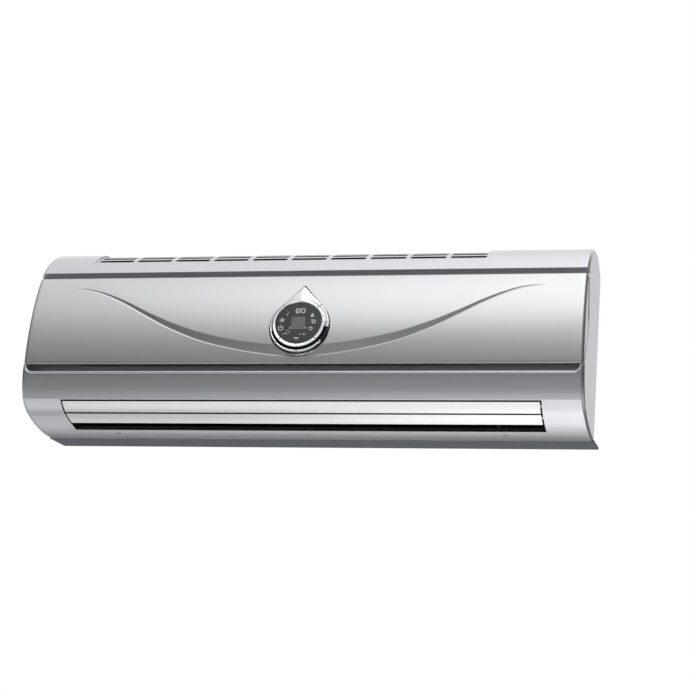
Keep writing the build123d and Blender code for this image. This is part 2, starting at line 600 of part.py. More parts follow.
# ================================================================ front casing
hinge_point = around_hub(HINGE_RADIUS, HINGE_ANGLE)
frame_depth = HUB[0] + FRAME_OUTER
frame_back = frame_depth - FRAME_THICKNESS
mouth = hypot(OUTLET_TOP[0] - OUTLET_BOTTOM[0], OUTLET_TOP[1] - OUTLET_BOTTOM[1])
mouth_out = ((OUTLET_TOP[1] - OUTLET_BOTTOM[1]) / mouth, -(OUTLET_TOP[0] - OUTLET_BOTTOM[0]) / mouth)
with BuildPart() as front_casing:
    add(envelope.part)
    add(hollow.part, mode=Mode.SUBTRACT)
    # behind the slanted rear edge of the ends, and behind the underside
    with BuildSketch(section(-HALF)):
        Polygon(*polygon([(-2, BOTTOM - 5), (CASING_FOOT, BOTTOM - 5), (CASING_FOOT, BOTTOM + 8),
                          CASING_REAR, (-2, CASING_REAR[1])]), align=None)
    extrude(amount=2 * HALF, mode=Mode.SUBTRACT)
    # recess of the front panel
    with BuildSketch(section(-HALF)):
        with BuildLine():
            draw_recess(0.0, UPPER_TOP_ANGLE, SEAM_END[1])
        make_face()
    extrude(amount=2 * HALF, mode=Mode.SUBTRACT)
    # lower groove, rounded up at its ends
    groove_height = SEAM_END[1] - LOWER_GROOVE_FLOOR + GROOVE_CORNER
    with BuildSketch(Plane.XZ.offset(DEPTH - 20)):
        with Locations((0, LOWER_GROOVE_FLOOR + groove_height / 2)):
            RectangleRounded(LENGTH - 14, groove_height, GROOVE_CORNER)
    extrude(amount=30, mode=Mode.SUBTRACT)
    # top grille: its well, the slotted plate and the step at each side
    with BuildSketch(section(GRILLE_LEFT)):
        with BuildLine():
            draw_grille(GRILLE_THICKNESS, raise_to=TOP + 5)
        make_face()
    extrude(amount=GRILLE_RIGHT - GRILLE_LEFT, mode=Mode.SUBTRACT)
    with BuildSketch(section(GRILLE_LEFT - GRILLE_STEP)):
        with BuildLine():
            draw_grille(GRILLE_THICKNESS)
        make_face()
    extrude(amount=GRILLE_RIGHT - GRILLE_LEFT + 2 * GRILLE_STEP)
    add(grille_steps.part)
    with BuildSketch(Plane.XY.offset(TOP - 45)):
        for row in SLOT_ROWS:
            for index in range(SLOT_COUNT):
                with Locations((FIRST_SLOT + SLOT_LENGTH / 2 + index * SLOT_PITCH, -row)):
                    SlotOverall(SLOT_LENGTH, SLOT_WIDTH)
    extrude(amount=60, mode=Mode.SUBTRACT)
    # frame plate and the floor and upper wall of the upper groove
    with BuildSketch(section(-FRAME_HALF)):
        with BuildLine():
            draw_frame_plate()
        make_face()
        with BuildLine():
            draw_sector(GROOVE_FLOOR - FRAME_THICKNESS, FRAME_OUTER, FRAME_TOP_ANGLE - 0.8,
                        FRAME_TOP_ANGLE)
        make_face()
    extrude(amount=2 * FRAME_HALF)
    with BuildSketch(section(-FRAME_HALF)):
        with BuildLine():
            draw_sector(GROOVE_FLOOR - FRAME_THICKNESS, GROOVE_FLOOR, FRAME_TOP_ANGLE - 0.8,
                        UPPER_TOP_ANGLE + 0.9)
        make_face()
    extrude(amount=2 * FRAME_HALF)
    with BuildSketch(section(-FRAME_HALF)):
        with BuildLine():
            draw_sector(GROOVE_FLOOR - FRAME_THICKNESS, BAND_RADIUS - 1, UPPER_TOP_ANGLE,
                        UPPER_TOP_ANGLE + 0.9)
        make_face()
    extrude(amount=2 * FRAME_HALF)
    # both grooves closed off as far as the end walls
    with BuildSketch(section(-SEAL_HALF)):
        with BuildLine():
            draw_sector(GROOVE_FLOOR - FRAME_THICKNESS, GROOVE_FLOOR, UPPER_BOTTOM_ANGLE + 0.3,
                        UPPER_TOP_ANGLE + 0.9)
        make_face()
    extrude(amount=2 * SEAL_HALF)
    with BuildSketch(section(-SEAL_HALF)):
        with BuildLine():
            draw_sector(GROOVE_FLOOR - FRAME_THICKNESS, BAND_RADIUS - 2, UPPER_TOP_ANGLE,
                        UPPER_TOP_ANGLE + 0.9)
        make_face()
    extrude(amount=2 * SEAL_HALF)
    with BuildSketch(section(-LENGTH / 2 + 2)):
        Polygon(*polygon([(frame_depth, LOWER_GROOVE_FLOOR), (DEPTH - 7, LOWER_GROOVE_FLOOR),
                          (DEPTH - 7, LOWER_GROOVE_FLOOR - FRAME_THICKNESS),
                          (frame_depth, LOWER_GROOVE_FLOOR - FRAME_THICKNESS)]), align=None)
    extrude(amount=LENGTH - 4)
    # windows in the frame plate, and the channels the filters slide in
    for left, right in FILTER_ENDS:
        inside = right - left - 2 * FILTER_BORDER
        width = (inside - (FRAME_WINDOW_COLUMNS - 1) * FRAME_BAR) / FRAME_WINDOW_COLUMNS
        for column in range(FRAME_WINDOW_COLUMNS):
            start = left + FILTER_BORDER + column * (width + FRAME_BAR)
            for low, high in FRAME_WINDOW_ROWS:
                with BuildSketch(section(start)):
                    with BuildLine():
                        draw_sector(FRAME_OUTER - 5, FRAME_OUTER + 1, low, high)
                    make_face()
                extrude(amount=width, mode=Mode.SUBTRACT)
            foot, head = FRAME_WINDOW_FOOT
            with BuildSketch(section(start)):
                Polygon(*polygon([(frame_back - 1, foot), (frame_depth + 1, foot),
                                  (frame_depth + 1, head), (frame_back - 1, head)]), align=None)
            extrude(amount=width, mode=Mode.SUBTRACT)
        for wall in (left - FIT - RAIL_LIP, right + FIT):
            with BuildSketch(section(wall)):
                with BuildLine():
                    draw_sector(FILTER_INNER - 1.2, FRAME_OUTER - 1, 4.0, FRAME_TOP_ANGLE - 0.8)
                make_face()
            extrude(amount=RAIL_LIP)
        for lip in (left - FIT - 1, right + FIT + 1 - 4.0):
            with BuildSketch(section(lip)):
                with BuildLine():
                    draw_sector(FILTER_INNER - 1.2, FILTER_INNER - FIT, 4.0, FRAME_TOP_ANGLE - 0.8)
                make_face()
            extrude(amount=4.0)
    # hinge: a gap in the groove's floor for each lug, with an ear on both sides
    ear_reach = LUG_WIDTH / 2 + 0.5
    for x in HINGE_XS:
        with BuildSketch(section(x - ear_reach)):
            with BuildLine():
                draw_sector(GROOVE_FLOOR - 8, GROOVE_FLOOR + 8, FRAME_TOP_ANGLE, UPPER_TOP_ANGLE - 2)
            make_face()
        extrude(amount=2 * ear_reach, mode=Mode.SUBTRACT)
        with BuildSketch(section(x - ear_reach - EAR_WIDTH), section(x + ear_reach)):
            with Locations(at(hinge_point)):
                Circle(EAR_RADIUS)
        extrude(amount=EAR_WIDTH)
        with BuildSketch(section(x - ear_reach - EAR_WIDTH)):
            with Locations(at(hinge_point)):
                Circle(HINGE_PIN + RUNNING)
        extrude(amount=2 * (ear_reach + EAR_WIDTH), mode=Mode.SUBTRACT)
    # walls that close the panel's recess at its ends, and the strip along each end seam
    for inner in (-FRAME_HALF, FRAME_HALF - END_RIB):
        with BuildSketch(section(inner)):
            with BuildLine():
                draw_end_rib()
            make_face()
            with Locations(at(hinge_point)):
                Circle(HINGE_SWEEP, mode=Mode.SUBTRACT)
        extrude(amount=END_RIB)
    # air outlet
    with BuildSketch(section(-OUTLET_HALF)):
        Polygon(*polygon([shifted(OUTLET_TOP, 20 * mouth_out[0], 20 * mouth_out[1]),
                          shifted(OUTLET_TOP, -12 * mouth_out[0], -12 * mouth_out[1]),
                          shifted(OUTLET_BOTTOM, -12 * mouth_out[0], -12 * mouth_out[1]),
                          shifted(OUTLET_BOTTOM, 20 * mouth_out[0], 20 * mouth_out[1])]), align=None)
    extrude(amount=2 * OUTLET_HALF, mode=Mode.SUBTRACT)
    # screw holes of the underside, and the hole of the emergency button
    for x in SCREW_XS:
        with BuildSketch(Plane.XY.offset(BOTTOM)):
            with Locations((x, -SCREW_DEPTH)):
                Circle(SCREW_HEAD + FIT)
        extrude(amount=6.4, mode=Mode.SUBTRACT)
        with BuildSketch(Plane.XY.offset(BOTTOM)):
            with Locations((x, -SCREW_DEPTH)):
                Circle(SCREW_RADIUS + FIT)
        extrude(amount=12, mode=Mode.SUBTRACT)
    with BuildSketch(Plane.XZ.offset(frame_back - 2)):
        with Locations((BUTTON_X, BUTTON_HEIGHT)):
            Circle(BUTTON_RADIUS + RUNNING)
    extrude(amount=6, mode=Mode.SUBTRACT)
save(front_casing, "front_casing")

# ================================================================ chassis
scroll = scroll_line()
guide_top = scroll[0]
bulkhead = [(BACK_FACE + WALL - 1, -96), (BACK_FACE + WALL - 1, TROUGH_FLOOR + 2),
            (75, TROUGH_FLOOR + 2), (140, 10), (PAN_BACK - 0.5, -60), (PAN_BACK - 0.5, PAN_FLOOR),
            (scroll[-1][0] + 0.5, scroll[-1][1] + 1), (118, BOTTOM + 10), (95, BOTTOM + 8),
            (60, -125), (40, -96)]
duct_side = [(50, MOTOR_FLOOR), (PAN_BACK - 4.2, MOTOR_FLOOR),
             (scroll[-1][0] + 0.5, scroll[-1][1] + 1), (118, BOTTOM + 10), (95, BOTTOM + 8),
             (60, -125), (46, -96)]
with BuildPart() as rear_chassis:
    # back wall
    with BuildSketch(section(-CHASSIS_HALF)):
        Polygon(*polygon([(BACK_FACE, BOTTOM + 3), (BACK_FACE, 112), (BACK_FACE + WALL, 112),
                          (BACK_FACE + WALL, BOTTOM + 3)]), align=None)
    extrude(amount=2 * CHASSIS_HALF)
    # underside strip, as long as the whole unit
    with BuildSketch(section(-HALF)):
        Polygon(*polygon([(0, BOTTOM), (BELLY_END[0] - 0.5, BOTTOM + 1.45),
                          (BELLY_END[0] - 1.2, BOTTOM + 4), (0, BOTTOM + 3.5)]), align=None)
    extrude(amount=2 * HALF)
    cut_ends()
    # side walls, each open to the pipe channel
    with BuildSketch(section(-CHASSIS_HALF), section(CHASSIS_HALF - WALL)):
        Polygon(*polygon([(BACK_FACE, 112), (95, 112), (146, 60), (146, -60), (100, -132),
                          (71, BOTTOM + 5.5), (71, BOTTOM + 2.5), (BACK_FACE, BOTTOM + 2)]),
                align=None)
    extrude(amount=WALL)
    with BuildSketch(section(-HALF)):
        Polygon(*polygon([(7, BOTTOM + 7), (42, BOTTOM + 7), (42, -98), (7, -98)]), align=None)
    extrude(amount=2 * HALF, mode=Mode.SUBTRACT)
    # air guide behind the fan
    with BuildSketch(section(BULKHEAD_LEFT)):
        Polygon(*thickened(scroll, -SCROLL_WALL), align=None)
    extrude(amount=2 * DUCT_HALF + 5)
    # trough under the rear coil, and the wall that carries it on the air guide
    with BuildSketch(section(BULKHEAD_LEFT)):
        Polygon(*polygon([(BACK_FACE + 1, TROUGH_FLOOR), (72, TROUGH_FLOOR), (72, TROUGH_FLOOR + 8),
                          (70, TROUGH_FLOOR + 8), (70, TROUGH_FLOOR + 2),
                          (BACK_FACE + 1, TROUGH_FLOOR + 2)]), align=None)
        Polygon(*polygon([(guide_top[0], guide_top[1] - 0.5), (guide_top[0], TROUGH_FLOOR + 1),
                          (guide_top[0] - SCROLL_WALL, TROUGH_FLOOR + 1),
                          (guide_top[0] - SCROLL_WALL, guide_top[1] - 0.5)]), align=None)
    extrude(amount=BULKHEAD_RIGHT - BULKHEAD_LEFT + WALL)
    # bulkheads at both ends of the fan, the side of the duct and the floor under the motor
    with BuildSketch(section(BULKHEAD_LEFT), section(BULKHEAD_RIGHT)):
        Polygon(*polygon(bulkhead), align=None)
    extrude(amount=WALL)
    with BuildSketch(section(DUCT_HALF)):
        Polygon(*polygon(duct_side), align=None)
    extrude(amount=WALL)
    with BuildSketch(section(BULKHEAD_RIGHT)):
        Polygon(*polygon([(44, MOTOR_FLOOR), (PAN_BACK - 4.2, MOTOR_FLOOR),
                          (PAN_BACK - 4.2, MOTOR_FLOOR + 2), (44, MOTOR_FLOOR + 2)]), align=None)
    extrude(amount=DUCT_HALF - BULKHEAD_RIGHT + WALL)
    # cradle of the motor
    with BuildSketch(section(CRADLE_LEFT), section(CRADLE_RIGHT - CRADLE_RIB)):
        Polygon(*polygon([(FAN_CENTRE[0] - STRAP_FOOT, MOTOR_FLOOR + 1),
                          (FAN_CENTRE[0] + STRAP_FOOT, MOTOR_FLOOR + 1),
                          (FAN_CENTRE[0] + STRAP_FOOT, FAN_CENTRE[1]),
                          (FAN_CENTRE[0] - STRAP_FOOT, FAN_CENTRE[1])]), align=None)
        with Locations(at(FAN_CENTRE)):
            Circle(MOTOR_RADIUS + FIT, mode=Mode.SUBTRACT)
    extrude(amount=CRADLE_RIB)
    # bosses for the casing's screws
    for x in SCREW_XS:
        with BuildSketch(Plane.XY.offset(BOTTOM + 7.9)):
            with Locations((x, -SCREW_DEPTH)):
                Circle(4.5)
        extrude(amount=9)
        with BuildSketch(Plane.XY.offset(BOTTOM + 7)):
            with Locations((x, -SCREW_DEPTH)):
                Circle(SCREW_RADIUS + 0.02)
        extrude(amount=8, mode=Mode.SUBTRACT)
    # holes for the bearing, the motor's shaft and the wall plate's hooks
    for wall, radius in ((BULKHEAD_LEFT, MOUNT_RADIUS + 0.1), (BULKHEAD_RIGHT, 10)):
        with BuildSketch(section(wall - 1)):
            with Locations(at(FAN_CENTRE)):
                Circle(radius)
        extrude(amount=WALL + 2, mode=Mode.SUBTRACT)
    for x in (-HOOK_X, HOOK_X):
        with BuildSketch(Plane.XZ.offset(BACK_FACE - 1)):
            with Locations((x, HOOK_HEIGHT + PLATE_THICKNESS + 0.05 - 4)):
                Rectangle(HOOK_WIDTH + 3, 8)
        extrude(amount=WALL + 2, mode=Mode.SUBTRACT)
save(rear_chassis, "rear_chassis")

with BuildPart() as wall_plate:
    with BuildSketch(Plane.XZ):
        RectangleRounded(PLATE_LENGTH, PLATE_HEIGHT, 6)
        with Locations((0, 0)):
            with GridLocations(SCREW_SPAN_X, SCREW_SPAN_Z, 2, 2):
                Circle(SCREW_HOLE, mode=Mode.SUBTRACT)
        with Locations((0, 20)):
            with GridLocations(150, 1, 3, 1):
                SlotOverall(80, 24, mode=Mode.SUBTRACT)
    extrude(amount=PLATE_THICKNESS)
    # hooks that pass through the chassis and turn up behind it
    for x in (-HOOK_X, HOOK_X):
        with BuildSketch(section(x - HOOK_WIDTH / 2)):
            Polygon(*polygon([(PLATE_THICKNESS - 1, HOOK_HEIGHT), (HOOK_REACH, HOOK_HEIGHT),
                              (HOOK_REACH, HOOK_LIP), (HOOK_REACH - 1.5, HOOK_LIP),
                              (HOOK_REACH - 1.5, HOOK_HEIGHT + PLATE_THICKNESS),
                              (PLATE_THICKNESS - 1, HOOK_HEIGHT + PLATE_THICKNESS)]), align=None)
        extrude(amount=HOOK_WIDTH)
save(wall_plate, "wall_plate")

with BuildPart() as casing_screws:
    for x in SCREW_XS:
        with BuildSketch(Plane.XY.offset(BOTTOM + 4.5)):
            with Locations((x, -SCREW_DEPTH)):
                Circle(SCREW_HEAD)
        extrude(amount=1.6)
        with BuildSketch(Plane.XY.offset(BOTTOM + 6)):
            with Locations((x, -SCREW_DEPTH)):
                Circle(SCREW_RADIUS)
        extrude(amount=8.5)
        with BuildSketch(Plane.XY.offset(BOTTOM + 4.5)):
            with Locations((x, -SCREW_DEPTH)):
                Rectangle(4.2, 0.9)
                Rectangle(0.9, 4.2)
        extrude(amount=0.8, mode=Mode.SUBTRACT)
save(casing_screws, "casing_screws")

# ================================================================ coil
BLOCKS = [
    ("front_lower_coil", LOWER_CENTRE, LOWER_HEIGHT, 0.0, TUBE_PITCH),
    ("front_upper_coil", UPPER_CENTRE, UPPER_HEIGHT, UPPER_LEAN, TUBE_PITCH),
    ("rear_coil", REAR_CENTRE, REAR_HEIGHT, REAR_LEAN, REAR_PITCH),
]
for name, centre, height, lean, pitch in BLOCKS:
    with BuildPart() as coil_block:
        with BuildSketch(section(COIL_LEFT + 0.1)):
            Polygon(*polygon(block_corners(centre, height, lean)), align=None)
        extrude(amount=COIL_RIGHT - COIL_LEFT - 0.2)
    save(coil_block, name)

arm = [(BACK_FACE + WALL + FIT, 40), (62, 40), (62, 56), (BACK_FACE + WALL + FIT, 56)]
bridge = [(84, 76), (112, 78), (118, 96), (90, 92)]
for name, start in (("coil_end_plate_left", COIL_LEFT - END_PLATE),
                    ("coil_end_plate_right", COIL_RIGHT)):
    with BuildPart() as coil_end_plate:
        with BuildSketch(section(start)):
            for _, centre, height, lean, pitch in BLOCKS:
                Polygon(*polygon(block_corners(centre, height, lean, 1.2)), align=None)
            Polygon(*polygon(arm), align=None)
            Polygon(*polygon(bridge), align=None)
            for _, centre, height, lean, pitch in BLOCKS:
                with Locations(*[at(tube) for tube in tube_centres(centre, 4, lean, pitch)]):
                    Circle(TUBE_RADIUS + 0.05, mode=Mode.SUBTRACT)
        extrude(amount=END_PLATE)
    save(coil_end_plate, name)

lower_tubes = tube_centres(LOWER_CENTRE, 4, 0.0, TUBE_PITCH)
upper_tubes = tube_centres(UPPER_CENTRE, 4, UPPER_LEAN, TUBE_PITCH)
rear_tubes = tube_centres(REAR_CENTRE, 4, REAR_LEAN, REAR_PITCH)
left_pairs = [tubes[start:start + 2] for tubes in (lower_tubes, upper_tubes, rear_tubes)
              for start in (0, 2)]
right_pairs = [tubes[1:3] for tubes in (lower_tubes, upper_tubes, rear_tubes)]
right_pairs.append([lower_tubes[3], upper_tubes[0]])
with BuildPart() as coil_return_bends:
    for side, pairs in ((-1, left_pairs), (1, right_pairs)):
        face = COIL_RIGHT + 0.05 if side > 0 else COIL_LEFT - 0.05
        knee = face + side * (END_PLATE + 0.5)
        for first, second in pairs:
            reach = hypot(first[0] - second[0], first[1] - second[1]) / 2
            start = Vector(face, -first[0], first[1])
            turn = Vector(knee, -first[0], first[1])
            peak = Vector(knee + side * reach, -(first[0] + second[0]) / 2,
                          (first[1] + second[1]) / 2)
            back = Vector(knee, -second[0], second[1])
            with BuildLine() as bend_path:
                Line(start, turn)
                ThreePointArc(turn, peak, back)
                Line(back, Vector(face, -second[0], second[1]))
            with BuildSketch(Plane(origin=start, z_dir=(side, 0, 0))):
                Circle(TUBE_RADIUS)
            sweep(path=bend_path.line)
    # long pipe from the foot of the front coil to the top of the rear coil
    with BuildLine() as jumper_path:
        FilletPolyline(Vector(COIL_RIGHT + 0.05, -lower_tubes[0][0], lower_tubes[0][1]),
                       Vector(PIPE_X, -lower_tubes[0][0], lower_tubes[0][1]),
                       Vector(PIPE_X, -rear_tubes[0][0], rear_tubes[0][1]),
                       Vector(COIL_RIGHT + 0.05, -rear_tubes[0][0], rear_tubes[0][1]), radius=8)
    with BuildSketch(Plane(origin=(COIL_RIGHT + 0.05, -lower_tubes[0][0], lower_tubes[0][1]),
                           z_dir=(1, 0, 0))):
        Circle(TUBE_RADIUS)
    sweep(path=jumper_path.line)
save(coil_return_bends, "coil_return_bends")

for name, nut_name, radius, tube, depth, height, across, thread in (
    ("gas_pipe", "gas_flare_nut", GAS_RADIUS, rear_tubes[3], GAS_DEPTH, GAS_HEIGHT, GAS_NUT,
     GAS_THREAD),
    ("liquid_pipe", "liquid_flare_nut", LIQUID_RADIUS, upper_tubes[3], LIQUID_DEPTH, LIQUID_HEIGHT,
     LIQUID_NUT, LIQUID_THREAD),
):
    start = Vector(COIL_RIGHT + END_PLATE + FIT, -tube[0], tube[1])
    with BuildPart() as pipe:
        with BuildLine() as pipe_path:
            FilletPolyline(start, Vector(PIPE_X, -tube[0], tube[1]), Vector(PIPE_X, -depth, tube[1]),
                           Vector(PIPE_X, -depth, height), Vector(PIPE_END, -depth, height), radius=12)
        with BuildSketch(Plane(origin=start, z_dir=(1, 0, 0))):
            Circle(radius)
        sweep(path=pipe_path.line)
    save(pipe, name)
    with BuildPart() as flare_nut:
        with BuildSketch(section(PIPE_END - NUT_LENGTH / 2)):
            with Locations(at((depth, height))):
                RegularPolygon(across / 2, 6, major_radius=False)
        extrude(amount=NUT_LENGTH)
        with BuildSketch(section(PIPE_END - NUT_LENGTH / 2)):
            with Locations(at((depth, height))):
                Circle(thread)
        extrude(amount=NUT_LENGTH / 2, mode=Mode.SUBTRACT)
        with BuildSketch(section(PIPE_END - 1)):
            with Locations(at((depth, height))):
                Circle(radius + RUNNING)
        extrude(amount=NUT_LENGTH, mode=Mode.SUBTRACT)
    save(flare_nut, nut_name)

with BuildPart() as pipe_clamp:
    with BuildSketch(section(CLAMP_X)):
        Polygon(*polygon([(BACK_FACE + WALL + FIT, LIQUID_HEIGHT - 7),
                          (LIQUID_DEPTH + 8, LIQUID_HEIGHT - 7), (GAS_DEPTH + 8, GAS_HEIGHT - 6),
                          (GAS_DEPTH + 8, GAS_HEIGHT + 8), (BACK_FACE + WALL + FIT, GAS_HEIGHT + 8)]),
                align=None)
        with Locations(at((GAS_DEPTH, GAS_HEIGHT))):
            Circle(GAS_RADIUS + 0.1, mode=Mode.SUBTRACT)
        with Locations(at((LIQUID_DEPTH, LIQUID_HEIGHT))):
            Circle(LIQUID_RADIUS + 0.1, mode=Mode.SUBTRACT)
    extrude(amount=CLAMP_WIDTH)
save(pipe_clamp, "pipe_clamp")

# ================================================================ fan and motor
with BuildPart() as fan_rotor:
    with BuildSketch(section(FAN_LEFT)):
        with Locations(at(FAN_CENTRE)):
            with PolarLocations((FAN_RADIUS + DISC_HOLE + 2.0) / 2, BLADE_COUNT):
                Rectangle(BLADE_LENGTH, BLADE_THICKNESS, rotation=BLADE_TILT)
    extrude(amount=FAN_RIGHT - FAN_LEFT)
    step = (FAN_RIGHT - FAN_LEFT - DISC_THICKNESS) / (DISC_COUNT - 1)
    for index in range(DISC_COUNT):
        with BuildSketch(section(FAN_LEFT + index * step)):
            with Locations(at(FAN_CENTRE)):
                Circle(FAN_RADIUS)
                if 0 < index < DISC_COUNT - 1:
                    Circle(DISC_HOLE, mode=Mode.SUBTRACT)
        extrude(amount=DISC_THICKNESS)
    for boss in (FAN_LEFT, FAN_RIGHT - 14):
        with BuildSketch(section(boss)):
            with Locations(at(FAN_CENTRE)):
                Circle(HUB_BOSS)
        extrude(amount=14)
    for bore in (FAN_LEFT - 1, FAN_RIGHT - 16):
        with BuildSketch(section(bore)):
            with Locations(at(FAN_CENTRE)):
                Circle(SHAFT_RADIUS)
        extrude(amount=17, mode=Mode.SUBTRACT)
save(fan_rotor, "fan_rotor")

for name, start, length in (("fan_stub_axle", BULKHEAD_LEFT - 3.5, 19.0),
                            ("motor_shaft", FAN_RIGHT - 13.5, 78.0)):
    with BuildPart() as axle:
        with BuildSketch(section(start)):
            with Locations(at(FAN_CENTRE)):
                Circle(SHAFT_RADIUS)
        extrude(amount=length)
    save(axle, name)

with BuildPart() as bearing_rubber_mount:
    with BuildSketch(section(BULKHEAD_LEFT - 1.5)):
        with Locations(at(FAN_CENTRE)):
            Circle(MOUNT_RADIUS)
            Circle(BUSH_RADIUS + 0.05, mode=Mode.SUBTRACT)
    extrude(amount=WALL + 3)
save(bearing_rubber_mount, "bearing_rubber_mount")

with BuildPart() as fan_bearing_bush:
    with BuildSketch(section(BULKHEAD_LEFT - 2.5)):
        with Locations(at(FAN_CENTRE)):
            Circle(BUSH_RADIUS)
            Circle(SHAFT_RADIUS + RUNNING, mode=Mode.SUBTRACT)
    extrude(amount=WALL + 5)
save(fan_bearing_bush, "fan_bearing_bush")

with BuildPart() as fan_motor:
    with BuildSketch(section(MOTOR_LEFT)):
        with Locations(at(FAN_CENTRE)):
            Circle(MOTOR_RADIUS)
    extrude(amount=MOTOR_RIGHT - MOTOR_LEFT)
    fillet(fan_motor.edges().filter_by(GeomType.CIRCLE), radius=4)
    with BuildSketch(section(MOTOR_LEFT - 3)):
        with Locations(at(FAN_CENTRE)):
            Circle(9)
    extrude(amount=MOTOR_RIGHT - MOTOR_LEFT + 6)
    with BuildSketch(section(MOTOR_LEFT - 4)):
        with Locations(at(FAN_CENTRE)):
            Circle(SHAFT_RADIUS + RUNNING)
    extrude(amount=MOTOR_RIGHT - MOTOR_LEFT + 8, mode=Mode.SUBTRACT)
save(fan_motor, "fan_motor")

with BuildPart() as motor_clamp:
    with BuildSketch(section(CRADLE_LEFT)):
        with Locations(at(FAN_CENTRE)):
            Circle(MOTOR_RADIUS + FIT + STRAP)
            Circle(MOTOR_RADIUS + FIT, mode=Mode.SUBTRACT)
        with Locations(at(shifted(FAN_CENTRE, 0, FIT - 30))):
            Rectangle(120, 60, mode=Mode.SUBTRACT)
        for side in (-1, 1):
            foot = FAN_CENTRE[0] + side * (MOTOR_RADIUS + FIT)
            end = FAN_CENTRE[0] + side * STRAP_FOOT
            base = FAN_CENTRE[1] + FIT
            Polygon(*polygon([(foot, base), (end, base), (end, base + STRAP), (foot, base + STRAP)]),
                    align=None)
    extrude(amount=CRADLE_RIGHT - CRADLE_LEFT)
save(motor_clamp, "motor_clamp")

# ================================================================ drain pan and air duct
with BuildPart() as drain_pan:
    with BuildSketch(section(-PAN_HALF)):
        Polygon(*polygon([(PAN_BACK, PAN_FLOOR), (PAN_FRONT, PAN_FLOOR), (PAN_FRONT, PAN_RIM),
                          (PAN_BACK, PAN_RIM)]), align=None)
    extrude(amount=2 * PAN_HALF)
    with BuildSketch(section(-PAN_HALF + PAN_WALL)):
        Polygon(*polygon([(PAN_BACK + PAN_WALL, PAN_FLOOR + PAN_WALL),
                          (PAN_FRONT - PAN_WALL, PAN_FLOOR + PAN_WALL),
                          (PAN_FRONT - PAN_WALL, PAN_RIM + 1), (PAN_BACK + PAN_WALL, PAN_RIM + 1)]),
                align=None)
    extrude(amount=2 * PAN_HALF - 2 * PAN_WALL, mode=Mode.SUBTRACT)
    with BuildSketch(section(-PAN_HALF - SPIGOT_LENGTH)):
        with Locations(at(SPIGOT_CENTRE)):
            Circle(SPIGOT_RADIUS)
    extrude(amount=SPIGOT_LENGTH + 1)
    with BuildSketch(section(-PAN_HALF - SPIGOT_LENGTH - 1)):
        with Locations(at(SPIGOT_CENTRE)):
            Circle(SPIGOT_BORE)
    extrude(amount=SPIGOT_LENGTH + 4, mode=Mode.SUBTRACT)
save(drain_pan, "drain_pan")

duct_end = [DUCT_TOP_BACK, DUCT_TOP_FRONT, (DEPTH - 21.0, BOTTOM + 33.2),
            (DEPTH - 38.0, BOTTOM + 23.4), (134, BOTTOM + 10.8),
            (scroll[-1][0] + 4.5, scroll[-1][1] + 2.5)]
with BuildPart() as air_outlet_frame:
    with BuildSketch(section(-DUCT_END)):
        Polygon(*thickened([DUCT_TOP_BACK, DUCT_TOP_FRONT], -DUCT_WALL), align=None)
    extrude(amount=2 * DUCT_END)
    with BuildSketch(section(-DUCT_END - DUCT_END_WALL), section(DUCT_END)):
        Polygon(*polygon(duct_end), align=None)
    extrude(amount=DUCT_END_WALL)
    with BuildSketch(section(-DUCT_END - DUCT_END_WALL - 1)):
        with Locations(at(UPPER_PIVOT), at(LOWER_PIVOT)):
            Circle(VANE_PIN + RUNNING)
    extrude(amount=2 * DUCT_END + 2 * DUCT_END_WALL + 2, mode=Mode.SUBTRACT)
    for side in (-1, 1):
        for x in DEFLECTOR_XS:
            with BuildSketch(duct_plane(side * x, DEFLECTOR_PIVOT, DUCT_WALL + 1)):
                Circle(DEFLECTOR_PIN + RUNNING)
            extrude(amount=DUCT_WALL + 2, mode=Mode.SUBTRACT)
save(air_outlet_frame, "air_outlet_frame")

